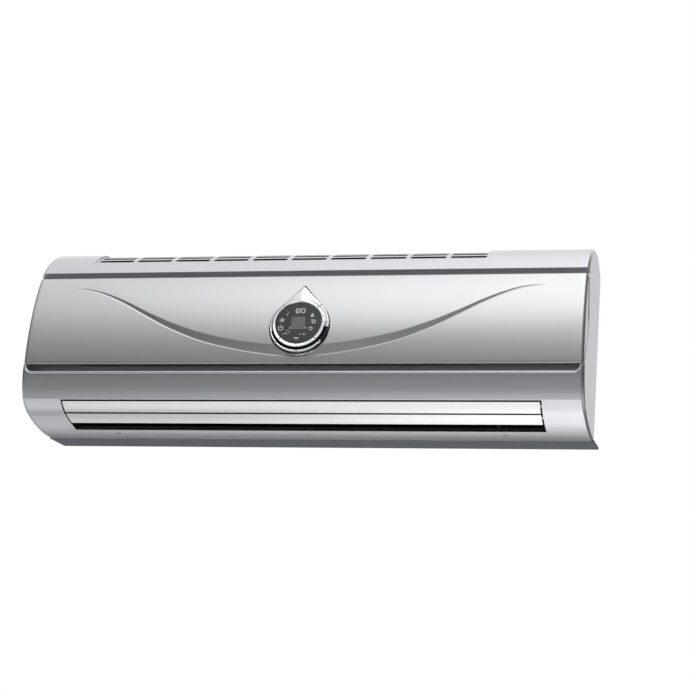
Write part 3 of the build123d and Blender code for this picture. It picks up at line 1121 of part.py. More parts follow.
# ================================================================ vanes
for name, crank_name, outer, pivot in (
    ("upper_vane", "upper_vane_crank", UPPER_VANE, UPPER_PIVOT),
    ("lower_vane", "lower_vane_crank", LOWER_VANE, LOWER_PIVOT),
):
    with BuildPart() as vane:
        with BuildSketch(section(-VANE_HALF)):
            with BuildLine():
                draw_vane(outer)
            make_face()
        extrude(amount=2 * VANE_HALF)
        for start in (-VANE_HALF, VANE_HALF - VANE_LUG):
            with BuildSketch(section(start)):
                Polygon(*polygon([(outer[1][0] + 4, outer[1][1] + 3.5),
                                  (outer[1][0] - 4.5, outer[1][1] + 0.8),
                                  (pivot[0] - 3.2, pivot[1]), (pivot[0] + 3.2, pivot[1])]),
                        align=None)
                with Locations(at(pivot)):
                    Circle(VANE_PIN + 1.2)
            extrude(amount=VANE_LUG)
        with BuildSketch(section(CRANK_LEFT)):
            with Locations(at(pivot)):
                Circle(VANE_PIN)
        extrude(amount=-VANE_HALF - CRANK_LEFT + 1)
        with BuildSketch(section(VANE_HALF - 1)):
            with Locations(at(pivot)):
                Circle(VANE_PIN)
        extrude(amount=DUCT_END + DUCT_END_WALL - VANE_HALF + 1)
        if name == "upper_vane":
            with BuildSketch(section(VANE_HALF - 1.5)):
                with Locations(at(pivot)):
                    Circle(VANE_SHAFT)
            extrude(amount=10, mode=Mode.SUBTRACT)
    save(vane, name)
    tip = crank_end(pivot)
    with BuildPart() as crank:
        with BuildSketch(section(CRANK_LEFT)):
            with Locations(at(pivot)):
                Circle(CRANK_BOSS)
            with Locations(at(tip)):
                Circle(LINK_BOSS)
            Polygon(*polygon([(pivot[0], pivot[1] - LINK_BOSS), (tip[0], tip[1] - LINK_BOSS),
                              (tip[0], tip[1] + LINK_BOSS), (pivot[0], pivot[1] + LINK_BOSS)]),
                    align=None)
            with Locations(at(pivot)):
                Circle(VANE_PIN, mode=Mode.SUBTRACT)
        extrude(amount=CRANK_WIDTH)
        with BuildSketch(section(CRANK_LEFT - CRANK_WIDTH - FIT)):
            with Locations(at(tip)):
                Circle(LINK_PIN)
        extrude(amount=CRANK_WIDTH + FIT + 0.5)
    save(crank, crank_name)

with BuildPart() as vane_link:
    tips = [crank_end(UPPER_PIVOT), crank_end(LOWER_PIVOT)]
    with BuildSketch(section(CRANK_LEFT - CRANK_WIDTH - FIT)):
        with Locations(at(tips[0]), at(tips[1])):
            Circle(LINK_BOSS)
        Polygon(*polygon([shifted(tips[0], 1, -2), shifted(tips[1], 1, -2), shifted(tips[1], -1, 2),
                          shifted(tips[0], -1, 2)]), align=None)
        with Locations(at(tips[0]), at(tips[1])):
            Circle(LINK_PIN + RUNNING, mode=Mode.SUBTRACT)
    extrude(amount=CRANK_WIDTH)
save(vane_link, "vane_link")

motor_spot = shifted(UPPER_PIVOT, VANE_MOTOR_OFFSET[0], VANE_MOTOR_OFFSET[1])
vane_motor_face = DUCT_END + DUCT_END_WALL + FIT
with BuildPart() as vane_motor:
    with BuildSketch(section(vane_motor_face)):
        with Locations(at(motor_spot)):
            Circle(VANE_MOTOR_RADIUS)
    extrude(amount=VANE_MOTOR_LENGTH)
    with BuildSketch(section(vane_motor_face - 1)):
        with Locations(at(UPPER_PIVOT)):
            Circle(VANE_SHAFT + RUNNING)
    extrude(amount=7, mode=Mode.SUBTRACT)
save(vane_motor, "vane_motor")

with BuildPart() as vane_motor_shaft:
    with BuildSketch(section(VANE_HALF - 1.5)):
        with Locations(at(UPPER_PIVOT)):
            Circle(VANE_SHAFT)
    extrude(amount=vane_motor_face + 5.5 - VANE_HALF + 1.5)
save(vane_motor_shaft, "vane_motor_shaft")

# ================================================================ deflectors
for group, sign in (("left", -1), ("right", 1)):
    for number, x in enumerate(DEFLECTOR_XS, start=1):
        with BuildPart() as deflector:
            corners = [(DEFLECTOR_NEAR, DEFLECTOR_TOP), (DEFLECTOR_FAR, DEFLECTOR_TOP),
                       (DEFLECTOR_FAR, CATCH_TOP), (DEFLECTOR_CATCH - 3.6, CATCH_TOP),
                       (DEFLECTOR_CATCH - 3.6, CATCH_BOTTOM), (DEFLECTOR_FAR, CATCH_BOTTOM),
                       (DEFLECTOR_FAR - 3, DEFLECTOR_BOTTOM), (DEFLECTOR_NEAR, DEFLECTOR_BOTTOM)]
            with BuildSketch(section(sign * x - DEFLECTOR_THICKNESS / 2)):
                Polygon(*polygon([along_duct(run, drop) for run, drop in corners]), align=None)
            extrude(amount=DEFLECTOR_THICKNESS)
            # catch pin for the bar, and the pivot with its collar and snap head
            for run, drop, radius, length in (
                (DEFLECTOR_CATCH, CATCH_BOTTOM + 0.5, CATCH_PIN, CATCH_BOTTOM - CATCH_TOP + 1),
                (DEFLECTOR_PIVOT, DEFLECTOR_TOP + 0.5, DEFLECTOR_PIN + 1.5, 1.4),
                (DEFLECTOR_PIVOT, DEFLECTOR_TOP, DEFLECTOR_PIN, DEFLECTOR_TOP + 1.5),
                (DEFLECTOR_PIVOT, -0.3, DEFLECTOR_PIN + 0.8, 1.5),
            ):
                with BuildSketch(duct_plane(sign * x, run, drop)):
                    Circle(radius)
                extrude(amount=length)
        save(deflector, f"{group}_deflector_{number}")
    first, last = sign * DEFLECTOR_XS[0], sign * DEFLECTOR_XS[-1]
    bar_drop = (CATCH_TOP + CATCH_BOTTOM + BAR_THICKNESS) / 2
    with BuildPart() as deflector_bar:
        with BuildSketch(duct_plane((first + last) / 2, DEFLECTOR_CATCH, bar_drop)):
            Rectangle(abs(last - first) + 10, BAR_WIDTH)
            with GridLocations(abs(last - first) / (len(DEFLECTOR_XS) - 1), 1, len(DEFLECTOR_XS), 1):
                Circle(CATCH_PIN + RUNNING, mode=Mode.SUBTRACT)
        extrude(amount=BAR_THICKNESS)
    save(deflector_bar, f"{group}_deflector_bar")

# ================================================================ front panel
smile = [(float(x), float(z)) for x, z in RELIEF_CURVE]
with BuildPart() as relief:
    with BuildSketch(section(-RELIEF_HALF)):
        with BuildLine():
            draw_outline(-RELIEF, 0.0)
        make_face()
    extrude(amount=2 * RELIEF_HALF)
    with BuildSketch(Plane.XZ):
        with BuildLine():
            Spline(*smile)
            Polyline(smile[-1], (RELIEF_HALF, RELIEF_TOP), (-RELIEF_HALF, RELIEF_TOP), smile[0])
        make_face()
    extrude(amount=DEPTH + 20, mode=Mode.INTERSECT)
    add(hollow.part, mode=Mode.SUBTRACT)
    with BuildSketch(section(-HALF)):
        Polygon(*polygon([(-5, -200), (150, -200), (150, 200), (-5, 200)]), align=None)
    extrude(amount=2 * HALF, mode=Mode.SUBTRACT)

with BuildPart() as front_panel:
    with BuildSketch(section(-HALF)):
        with BuildLine():
            draw_recess(PANEL_GAP, UPPER_BOTTOM_ANGLE, PANEL_END[1])
        make_face()
    extrude(amount=2 * HALF)
    add(envelope.part, mode=Mode.INTERSECT)
    add(hollow.part, mode=Mode.SUBTRACT)
    add(relief.part)
    # return flange along the upper groove
    with BuildSketch(section(-FRAME_HALF + 3)):
        with BuildLine():
            draw_sector(GROOVE_FLOOR + 1.5, BAND_RADIUS - 1, UPPER_BOTTOM_ANGLE - 0.8,
                        UPPER_BOTTOM_ANGLE)
        make_face()
    extrude(amount=2 * FRAME_HALF - 6)
    # room for the ears, then the hinge lugs with their pins
    for x in HINGE_XS:
        with BuildSketch(section(x - ear_reach - EAR_WIDTH - 0.5)):
            with Locations(at(hinge_point)):
                Circle(EAR_RADIUS + 0.6)
        extrude(amount=2 * (ear_reach + EAR_WIDTH + 0.5), mode=Mode.SUBTRACT)
    for x in HINGE_XS:
        with BuildSketch(section(x - LUG_WIDTH / 2)):
            with Locations(at(hinge_point)):
                Circle(EAR_RADIUS - 0.4)
            Polygon(*polygon([shifted(hinge_point, -1.5, -2.3), shifted(hinge_point, 8.0, -2.3),
                              shifted(hinge_point, 5.5, 3.4), shifted(hinge_point, 1, 3.4)]), align=None)
        extrude(amount=LUG_WIDTH)
        with BuildSketch(section(x - LUG_WIDTH / 2 - EAR_WIDTH)):
            with Locations(at(hinge_point)):
                Circle(HINGE_PIN)
        extrude(amount=LUG_WIDTH + 2 * EAR_WIDTH)
    # opening for the display
    with BuildSketch(display_plane(-20)):
        Circle(LENS_RADIUS + FIT)
    extrude(amount=40, mode=Mode.SUBTRACT)
save(front_panel, "front_panel")

# ================================================================ display
with BuildPart() as display_bezel:
    with BuildSketch(display_plane(-8)):
        with BuildLine():
            draw_bezel()
        make_face()
        Circle(LENS_RADIUS + FIT, mode=Mode.SUBTRACT)
    extrude(amount=8 + BEZEL_RISE)
    chamfer(display_bezel.faces().sort_by(Axis((0, 0, 0), (0, -cos(radians(DISPLAY_TILT)),
            sin(radians(DISPLAY_TILT)))))[-1].edges(), length=2.5)
    add(envelope.part, mode=Mode.SUBTRACT)
    add(relief.part, mode=Mode.SUBTRACT)
    for angle in BEZEL_SEAMS:
        with BuildSketch(display_plane(BEZEL_RISE - 1)):
            with Locations(Location((0, 0, 0), (0, 0, angle)) * Location((50, 0, 0))):
                Rectangle(60, SEAM_WIDTH)
        extrude(amount=4, mode=Mode.SUBTRACT)
save(display_bezel, "display_bezel")

with BuildPart() as display_lens:
    with BuildSketch(display_plane(0)):
        Circle(LENS_RADIUS)
    extrude(amount=LENS_TOP)
    with BuildSketch(display_plane(-WALL - 0.1)):
        Circle(LENS_RADIUS)
        Circle(LENS_RADIUS - 2, mode=Mode.SUBTRACT)
    extrude(amount=WALL + 1)
    with BuildSketch(display_plane(LENS_TOP - 1.2)):
        Rectangle(WINDOW_SIZE + 0.1, WINDOW_SIZE + 0.1)
    extrude(amount=3, mode=Mode.SUBTRACT)
save(display_lens, "display_lens")

with BuildPart() as display_window:
    with BuildSketch(display_plane(LENS_TOP - 1.2)):
        Rectangle(WINDOW_SIZE, WINDOW_SIZE)
    extrude(amount=1.3)
save(display_window, "display_window")

with BuildPart() as panel_skin:
    with BuildSketch(section(-60)):
        with BuildLine():
            draw_outline(-1.0, 0.0)
        make_face()
        with BuildLine():
            draw_outline(WALL + 0.15, -1.0)
        make_face(mode=Mode.SUBTRACT)
    extrude(amount=120)

with BuildPart() as display_housing:
    with BuildSketch(display_plane(-6.8)):
        Circle(HOUSING_RADIUS)
    extrude(amount=4.0)
    with BuildSketch(display_plane(-5.5)):
        Circle(LENS_RADIUS)
    extrude(amount=4.0, mode=Mode.SUBTRACT)
    add(panel_skin.part, mode=Mode.SUBTRACT)
save(display_housing, "display_housing")

with BuildPart() as display_board:
    with BuildSketch(display_plane(-5.4)):
        Circle(LENS_RADIUS - 0.4)
    extrude(amount=1.6)
save(display_board, "display_board")

with BuildPart() as infrared_receiver:
    with BuildSketch(display_plane(-3.7)):
        with Locations((-22, -8)):
            Rectangle(5, 6)
    extrude(amount=3.2)
save(infrared_receiver, "infrared_receiver")

# ================================================================ air filters
for name, (left, right) in (("left", FILTER_ENDS[0]), ("right", FILTER_ENDS[1])):
    inside = right - left - 2 * FILTER_BORDER
    net_back = FILTER_INNER + 0.6
    low_foot = FILTER_FOOT + FILTER_BORDER
    high_angle = FILTER_TOP_ANGLE - degrees(FILTER_BORDER / FILTER_OUTER)
    with BuildPart() as filter_frame:
        with BuildSketch(section(left)):
            with BuildLine():
                draw_curtain(FILTER_INNER, FILTER_OUTER, FILTER_TOP_ANGLE, FILTER_FOOT)
            make_face()
        extrude(amount=right - left)
        with BuildSketch(section(left + FILTER_BORDER)):
            with BuildLine():
                draw_curtain(FILTER_INNER - 1, FILTER_OUTER + 1, high_angle, low_foot)
            make_face()
        extrude(amount=inside, mode=Mode.SUBTRACT)
        # thin ribs in front of the net: upright ones, then level ones
        for column in range(1, 6):
            with BuildSketch(section(left + FILTER_BORDER + column * inside / 6 - FILTER_RIB / 2)):
                with BuildLine():
                    draw_curtain(FILTER_OUTER - FILTER_RIB_THICKNESS, FILTER_OUTER, high_angle + 0.5,
                                 low_foot - 1)
                make_face()
            extrude(amount=FILTER_RIB)
        for angle in (0.8, 14.0, 28.0, 42.0, 56.0):
            with BuildSketch(section(left + FILTER_BORDER - 1)):
                with BuildLine():
                    draw_sector(FILTER_OUTER - FILTER_RIB_THICKNESS, FILTER_OUTER, angle,
                                angle + degrees(FILTER_RIB / FILTER_OUTER))
                make_face()
            extrude(amount=inside + 2)
        # a grip tab in each of the frame plate's two middle windows
        window = (inside - (FRAME_WINDOW_COLUMNS - 1) * FRAME_BAR) / FRAME_WINDOW_COLUMNS
        front = HUB[0] + FILTER_OUTER
        for side in (-1, 1):
            tab_centre = (left + right + side * (window + FRAME_BAR)) / 2
            with BuildSketch(section(tab_centre - TAB_WIDTH / 2)):
                Polygon(*polygon([(front - 1, FILTER_FOOT + 1), (front + 3, FILTER_FOOT + 1),
                                  (front + 3, FILTER_FOOT + 3), (front - 1, FILTER_FOOT + 3)]),
                        align=None)
            extrude(amount=TAB_WIDTH)
    save(filter_frame, f"{name}_filter_frame")
    with BuildPart() as filter_net:
        with BuildSketch(section(left + FILTER_BORDER + 0.1)):
            with BuildLine():
                draw_curtain(net_back, net_back + NET_THICKNESS, high_angle - 0.05, low_foot + 0.1)
            make_face()
        extrude(amount=inside - 0.2)
    save(filter_net, f"{name}_filter_net")

# ================================================================ emergency switch
with BuildPart() as emergency_button:
    with BuildSketch(Plane.XZ.offset(frame_back - 2.3 - 2.0)):
        with Locations((BUTTON_X, BUTTON_HEIGHT)):
            Circle(BUTTON_FLANGE)
    extrude(amount=2.0)
    with BuildSketch(Plane.XZ.offset(frame_back - 2.5)):
        with Locations((BUTTON_X, BUTTON_HEIGHT)):
            Circle(BUTTON_RADIUS)
    extrude(amount=8.0)
save(emergency_button, "emergency_button")

with BuildPart() as switch_housing:
    with BuildSketch(Plane.XZ.offset(frame_back - 16)):
        with Locations((BUTTON_X, BUTTON_HEIGHT)):
            Rectangle(20, 20)
    extrude(amount=15.7)
    with BuildSketch(Plane.XZ.offset(frame_back - 10)):
        with Locations((BUTTON_X, BUTTON_HEIGHT)):
            Circle(BUTTON_FLANGE + 0.3)
    extrude(amount=12, mode=Mode.SUBTRACT)
save(switch_housing, "switch_housing")

# ================================================================ electrics
with BuildPart() as control_box:
    with BuildSketch(section(BOX_LEFT)):
        Polygon(*polygon([(BOX_BACK, BOX_FLOOR), (BOX_FRONT, BOX_FLOOR), (BOX_FRONT, BOX_TOP - 4),
                          (BOX_FRONT - 4, BOX_TOP), (BOX_BACK, BOX_TOP)]), align=None)
    extrude(amount=BOX_RIGHT - BOX_LEFT)
    with BuildSketch(section(BOX_LEFT + BOX_WALL)):
        Polygon(*polygon([(BOX_BACK + BOX_WALL, BOX_FLOOR + BOX_WALL), (BOX_FRONT + 1, BOX_FLOOR + BOX_WALL),
                          (BOX_FRONT + 1, BOX_TOP - BOX_WALL), (BOX_BACK + BOX_WALL, BOX_TOP - BOX_WALL)]),
                align=None)
    extrude(amount=BOX_RIGHT - BOX_LEFT - 2 * BOX_WALL, mode=Mode.SUBTRACT)
    with BuildSketch(Plane.XZ.offset(BOX_BACK + 1)):
        with Locations(((BOX_LEFT + BOX_RIGHT) / 2, (BOX_FLOOR + BOX_TOP) / 2)):
            with GridLocations(78, 40, 2, 2):
                Circle(3)
    extrude(amount=9)
save(control_box, "control_box")

with BuildPart() as control_box_cover:
    with BuildSketch(Plane.XZ.offset(BOX_FRONT + FIT)):
        with Locations(((BOX_LEFT + BOX_RIGHT) / 2, (BOX_FLOOR + BOX_TOP) / 2 - 2)):
            RectangleRounded(BOX_RIGHT - BOX_LEFT, BOX_TOP - BOX_FLOOR - 4, 3)
    extrude(amount=1.7)
save(control_box_cover, "control_box_cover")

with BuildPart() as control_board:
    with BuildSketch(Plane.XZ.offset(BOX_BACK + 10.2)):
        with Locations(((BOX_LEFT + BOX_RIGHT) / 2, (BOX_FLOOR + BOX_TOP) / 2)):
            Rectangle(90, 50)
    extrude(amount=1.6)
save(control_board, "control_board")

board_face = BOX_BACK + 12.0
with BuildPart() as transformer:
    with BuildSketch(Plane.XZ.offset(board_face)):
        with Locations((BOX_LEFT + 27, BOX_FLOOR + 24)):
            Rectangle(32, 26)
    extrude(amount=24)
save(transformer, "transformer")

with BuildPart() as terminal_block:
    with BuildSketch(Plane.XZ.offset(board_face)):
        with Locations((BOX_RIGHT - 30, BOX_FLOOR + 46)):
            Rectangle(40, 16)
    extrude(amount=20)
    with BuildSketch(Plane.XZ.offset(board_face + 12)):
        with Locations((BOX_RIGHT - 30, BOX_FLOOR + 46)):
            with GridLocations(9, 1, 4, 1):
                Circle(2.5)
    extrude(amount=10, mode=Mode.SUBTRACT)
save(terminal_block, "terminal_block")

with BuildPart() as room_sensor:
    with BuildSketch(Plane.XY.offset(BOX_FLOOR + 14)):
        with Locations((BOX_LEFT - 2.8, -(BOX_FRONT - 12))):
            Circle(2.5)
    extrude(amount=20)
save(room_sensor, "room_sensor")
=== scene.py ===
import bmesh
import bpy
import json
import math
from mathutils import Matrix, Vector


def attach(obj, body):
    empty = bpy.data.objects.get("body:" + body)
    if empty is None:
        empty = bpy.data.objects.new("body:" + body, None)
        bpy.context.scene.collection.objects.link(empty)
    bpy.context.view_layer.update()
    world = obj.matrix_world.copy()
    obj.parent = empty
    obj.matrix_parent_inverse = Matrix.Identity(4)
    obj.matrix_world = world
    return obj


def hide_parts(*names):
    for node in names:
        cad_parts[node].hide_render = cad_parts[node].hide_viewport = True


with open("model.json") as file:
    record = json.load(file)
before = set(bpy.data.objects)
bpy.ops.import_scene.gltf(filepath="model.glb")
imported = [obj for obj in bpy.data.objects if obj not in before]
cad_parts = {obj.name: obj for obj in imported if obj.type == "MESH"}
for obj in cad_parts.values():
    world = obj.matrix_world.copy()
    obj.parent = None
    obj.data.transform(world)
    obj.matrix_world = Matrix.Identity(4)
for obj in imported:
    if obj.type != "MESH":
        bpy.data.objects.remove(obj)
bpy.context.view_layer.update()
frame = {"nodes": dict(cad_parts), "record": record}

# Lengths are in metres. X runs along the unit, the wall is Y = 0, the front faces -Y and Z is up.
# A section point is a pair: distance from the wall, height.
MM = 0.001

# ================================================================ sizes shared with the CAD
HALF_FRONT = 425.0 * MM          # half the length at the front edges
END_FLARE = 5.0 * MM             # each end stands this much further out at the wall
DEPTH = 215.5 * MM
EDGE_RADIUS = 6.0 * MM
PANEL_TOP = (163.5 * MM, 94.0 * MM)
PANEL_MIDDLE = (200.0 * MM, 16.0 * MM)
PANEL_END = (213.5 * MM, -54.0 * MM)
PANEL_UPPER_EDGE = 90.5 * MM
# line in which the panel's end meets the casing
SEAM = [(160.3 * MM, 89.0 * MM), (160.8 * MM, 86.0 * MM), (155.3 * MM, 22.0 * MM),
        (165.5 * MM, 1.5 * MM), (177.3 * MM, -16.2 * MM), (195.0 * MM, -36.8 * MM),
        (214.3 * MM, -56.5 * MM)]
SHELL = 2.5 * MM                 # thickness of the panel
HINGE = (159.7 * MM, 85.9 * MM)
HINGE_XS = [-408.0 * MM, -36.6 * MM, 408.0 * MM]
DISPLAY_TILT = math.radians(15.9)
LENS_RADIUS = 34.0 * MM

nodes = frame["nodes"]
collection = bpy.context.scene.collection


# ================================================================ materials
# Black painted as shadow in narrow slits between parts. Each pair says over which stretch of X, Y
# or Z the black comes or goes.
SHADOW_BLACK = (0.012, 0.012, 0.013)
VANE_GAP_FROM = (-187.9 * MM, -187.7 * MM)      # Y, where the upper vane's rear edge turns black
VANE_GAP_TO = (-184.9 * MM, -184.6 * MM)        # Y, where the lower vane's front edge ends
VANE_FRONT = (-204.9 * MM, -204.7 * MM)         # Y
VANE_LEFT = (-367.4 * MM, -367.2 * MM)          # X
SLOTS_FROM = (-349.0 * MM, -348.5 * MM)         # X
SLOTS_TO = (269.5 * MM, 270.0 * MM)             # X
SLOTS_ABOVE = (118.0 * MM, 119.0 * MM)          # Z
SLOT_WALL_NORMAL = (0.2, 0.35)                  # how far up a face looks, from wall to skin
# Lacquer, plastic, steel and board. A scale counts the details of a pattern to the metre.
LACQUER_COAT = 0.2
LACQUER_ROUGH = 0.15
PLASTIC_COAT_ROUGH = 0.12
FLAKE_SCALE = 1400.0
HAZE_SHARE = 0.12                               # how much of the hazier tone shows at most
HAZE_TINT = 0.93
PEEL_SCALE = 260.0
PEEL_DEPTH = 0.003
SPANGLE_SCALE = 110.0
TRACK_SCALE = 190.0
# above this height the chassis gets painted shade, near black
STRIP_TOP = (-143.0 * MM, -141.0 * MM)          # Z, where the base strip's tone ends
WAVE_TURNS = math.pi / 10                       # scale of a wave texture that repeats every metre


def new_material(name):
    """A node material with its Principled shader and the coordinates that its patterns use."""
    material = bpy.data.materials.new(name)
    material.use_nodes = True
    tree = material.node_tree
    shader = tree.nodes["Principled BSDF"]
    place = tree.nodes.new("ShaderNodeTexCoord")
    return material, tree, shader, place.outputs["Object"]


def noise_node(tree, vector, scale, detail=3.0, rough=0.5):
    """Soft noise with this many details to the metre."""
    node = tree.nodes.new("ShaderNodeTexNoise")
    node.inputs["Scale"].default_value = scale
    node.inputs["Detail"].default_value = detail
    node.inputs["Roughness"].default_value = rough
    tree.links.new(vector, node.inputs["Vector"])
    return node.outputs["Fac"]


def map_range(tree, value, low, high, from_low=0.3, from_high=0.7, soft=False):
    """Carry the stretch from_low to from_high of a number socket over to low to high."""
    node = tree.nodes.new("ShaderNodeMapRange")
    if soft:
        node.interpolation_type = "SMOOTHSTEP"
    node.inputs["From Min"].default_value = from_low
    node.inputs["From Max"].default_value = from_high
    node.inputs["To Min"].default_value = low
    node.inputs["To Max"].default_value = high
    tree.links.new(value, node.inputs["Value"])
    return node.outputs["Result"]


def colour_mix(tree, factor, first, second, blend="MIX"):
    """Mix of two colours, each a tuple or a socket; the factor is a number or a socket."""
    node = tree.nodes.new("ShaderNodeMix")
    node.data_type = "RGBA"
    node.blend_type = blend
    if isinstance(factor, float):
        node.inputs["Factor"].default_value = factor
    else:
        tree.links.new(factor, node.inputs["Factor"])
    for target, colour in zip([s for s in node.inputs if s.type == "RGBA"], (first, second)):
        if isinstance(colour, tuple):
            target.default_value = (*colour, 1.0)
        else:
            tree.links.new(colour, target)
    return [s for s in node.outputs if s.type == "RGBA"][0]


def bump_node(tree, height, strength, distance, edge=0.0):
    """Bump from a height; where edge is more than 0, hard edges also catch light as if rounded."""
    node = tree.nodes.new("ShaderNodeBump")
    node.inputs["Strength"].default_value = strength
    node.inputs["Distance"].default_value = distance
    tree.links.new(height, node.inputs["Height"])
    if edge > 0:
        rounded = tree.nodes.new("ShaderNodeBevel")
        rounded.samples = 4
        rounded.inputs["Radius"].default_value = edge
        tree.links.new(rounded.outputs["Normal"], node.inputs["Normal"])
    return node.outputs["Normal"]


def tint(colour, factor):
    """A colour made darker or lighter."""
    return tuple(min(1.0, channel * factor) for channel in colour)


def paint(name, colour, rough, grain, grain_depth, coat=0.0, edge=0.5 * MM, vary=0.03,
          cloud=9.0, gloss=0.5):
    """Moulded or painted surface: faint clouding, edges that catch light and a fine grain, which
    is given by its details to the metre and the strength of its bump."""
    material, tree, shader, place = new_material(name)
    clouds = noise_node(tree, place, cloud, 2.0)
    fine = noise_node(tree, place, grain, 2.0)
    shade = map_range(tree, clouds, 0.0, 1.0)
    base = colour_mix(tree, shade, tint(colour, 1 - vary), tint(colour, 1 + vary))
    tree.links.new(base, shader.inputs["Base Color"])
    roughness = map_range(tree, fine, rough - 0.04, rough + 0.04)
    tree.links.new(roughness, shader.inputs["Roughness"])
    tree.links.new(bump_node(tree, fine, grain_depth, 0.4 * MM, edge), shader.inputs["Normal"])
    shader.inputs["Specular IOR Level"].default_value = gloss
    if coat > 0:
        shader.inputs["Coat Weight"].default_value = coat
        shader.inputs["Coat Roughness"].default_value = PLASTIC_COAT_ROUGH
    return material


def silver(name, colour, rough, metallic, sparkle_depth):
    """Silver metallic lacquer: flakes that differ a little in brightness under a clear coat."""
    material, tree, shader, place = new_material(name)
    flakes = tree.nodes.new("ShaderNodeTexVoronoi")
    flakes.inputs["Scale"].default_value = FLAKE_SCALE
    tree.links.new(place, flakes.inputs["Vector"])
    split = tree.nodes.new("ShaderNodeSeparateColor")
    tree.links.new(flakes.outputs["Color"], split.inputs["Color"])
    clouds = noise_node(tree, place, 6.0, 2.0)
    sparkle = map_range(tree, split.outputs["Red"], 0.0, 1.0, 0.0, 1.0)
    flake_colour = colour_mix(tree, sparkle, tint(colour, 1 - sparkle_depth),
                              tint(colour, 1 + sparkle_depth))
    haze = map_range(tree, clouds, 0.0, HAZE_SHARE)
    base = colour_mix(tree, haze, flake_colour, tint(colour, HAZE_TINT))
    tree.links.new(base, shader.inputs["Base Color"])
    roughness = map_range(tree, split.outputs["Green"], rough - sparkle_depth,
                          rough + sparkle_depth, 0.0, 1.0)
    tree.links.new(roughness, shader.inputs["Roughness"])
    peel = noise_node(tree, place, PEEL_SCALE, 1.0)
    tree.links.new(bump_node(tree, peel, PEEL_DEPTH, 0.3 * MM, 0.7 * MM), shader.inputs["Normal"])
    shader.inputs["Metallic"].default_value = metallic
    shader.inputs["Coat Weight"].default_value = LACQUER_COAT
    shader.inputs["Coat Roughness"].default_value = LACQUER_ROUGH
    return material


def axis_of(tree, vector, axis):
    """One axis of a vector socket."""
    axes = tree.nodes.new("ShaderNodeSeparateXYZ")
    tree.links.new(vector, axes.inputs[0])
    return axes.outputs[axis]


def joined(tree, operation, *values):
    """Number sockets joined two by two by a sum such as MULTIPLY or MAXIMUM."""
    result = values[0]
    for value in values[1:]:
        node = tree.nodes.new("ShaderNodeMath")
        node.operation = operation
        tree.links.new(result, node.inputs[0])
        tree.links.new(value, node.inputs[1])
        result = node.outputs[0]
    return result


def paint_shade_black(material, mask_of):
    """Paint shade into a material: turn it black where a mask, made from the place and the face's
    normal, is 1.
    """
    tree = material.node_tree
    shader = next(node for node in tree.nodes if node.type == "BSDF_PRINCIPLED")
    base = shader.inputs["Base Color"].links[0].from_socket
    place = tree.nodes.new("ShaderNodeTexCoord").outputs["Object"]
    normal = tree.nodes.new("ShaderNodeNewGeometry").outputs["True Normal"]
    mask = mask_of(tree, place, normal)
    tree.links.new(colour_mix(tree, mask, base, SHADOW_BLACK), shader.inputs["Base Color"])


def vane_gap_shadow(tree, place, normal):
    """Mask of painted shadow on the edges where the two vanes meet, the upper one's front edge and
    the left ends.
    """
    depth = axis_of(tree, place, "Y")
    between = joined(tree, "MULTIPLY", map_range(tree, depth, 0.0, 1.0, *VANE_GAP_FROM),
                     map_range(tree, depth, 1.0, 0.0, *VANE_GAP_TO))
    return joined(tree, "MAXIMUM", between, map_range(tree, depth, 1.0, 0.0, *VANE_FRONT),
                  map_range(tree, axis_of(tree, place, "X"), 1.0, 0.0, *VANE_LEFT))


def slot_wall_shade(tree, place, normal):
    """Mask of painted shade on the walls of the grille's slots, which don't look up as the skin
    round them does.
    """
    along = axis_of(tree, place, "X")
    return joined(tree, "MULTIPLY", map_range(tree, along, 0.0, 1.0, *SLOTS_FROM),
                  map_range(tree, along, 1.0, 0.0, *SLOTS_TO),
                  map_range(tree, axis_of(tree, place, "Z"), 0.0, 1.0, *SLOTS_ABOVE),
                  map_range(tree, axis_of(tree, normal, "Z"), 1.0, 0.0, *SLOT_WALL_NORMAL))


def tone_with_painted_shade(name, low_colour, shade_colour, low, high):
    """Moulded plastic in one tone on the underside, with painted shade, a darker colour, above it
    on the inside.
    """
    material, tree, shader, place = new_material(name)
    share = map_range(tree, axis_of(tree, place, "Z"), 0.0, 1.0, low, high)
    clouds = noise_node(tree, place, 14.0, 2.0)
    fine = noise_node(tree, place, 420.0, 2.0)
    under = colour_mix(tree, clouds, tint(low_colour, 0.92), tint(low_colour, 1.08))
    base = colour_mix(tree, share, under, shade_colour)
    tree.links.new(base, shader.inputs["Base Color"])
    tree.links.new(map_range(tree, fine, 0.42, 0.52), shader.inputs["Roughness"])
    tree.links.new(bump_node(tree, fine, 0.1, 0.4 * MM, 0.5 * MM), shader.inputs["Normal"])
    return material


def metal(name, colour, rough, streak=(1.0, 1.0, 1.0), streak_scale=400.0, depth=0.05, vary=0.08):
    """Bare metal with texture stretched along the axis whose streak value is small."""
    material, tree, shader, place = new_material(name)
    stretch = tree.nodes.new("ShaderNodeMapping")
    stretch.inputs["Scale"].default_value = streak
    tree.links.new(place, stretch.inputs["Vector"])
    streaks = noise_node(tree, stretch.outputs["Vector"], streak_scale, 3.0)
    clouds = noise_node(tree, place, 35.0, 3.0)
    shade = map_range(tree, clouds, 0.0, 1.0)
    base = colour_mix(tree, shade, tint(colour, 1 - vary), tint(colour, 1 + vary))
    tree.links.new(base, shader.inputs["Base Color"])
    tree.links.new(map_range(tree, streaks, rough - 0.06, rough + 0.08), shader.inputs["Roughness"])
    tree.links.new(bump_node(tree, streaks, depth, 0.3 * MM, 0.3 * MM), shader.inputs["Normal"])
    shader.inputs["Metallic"].default_value = 1.0
    return material


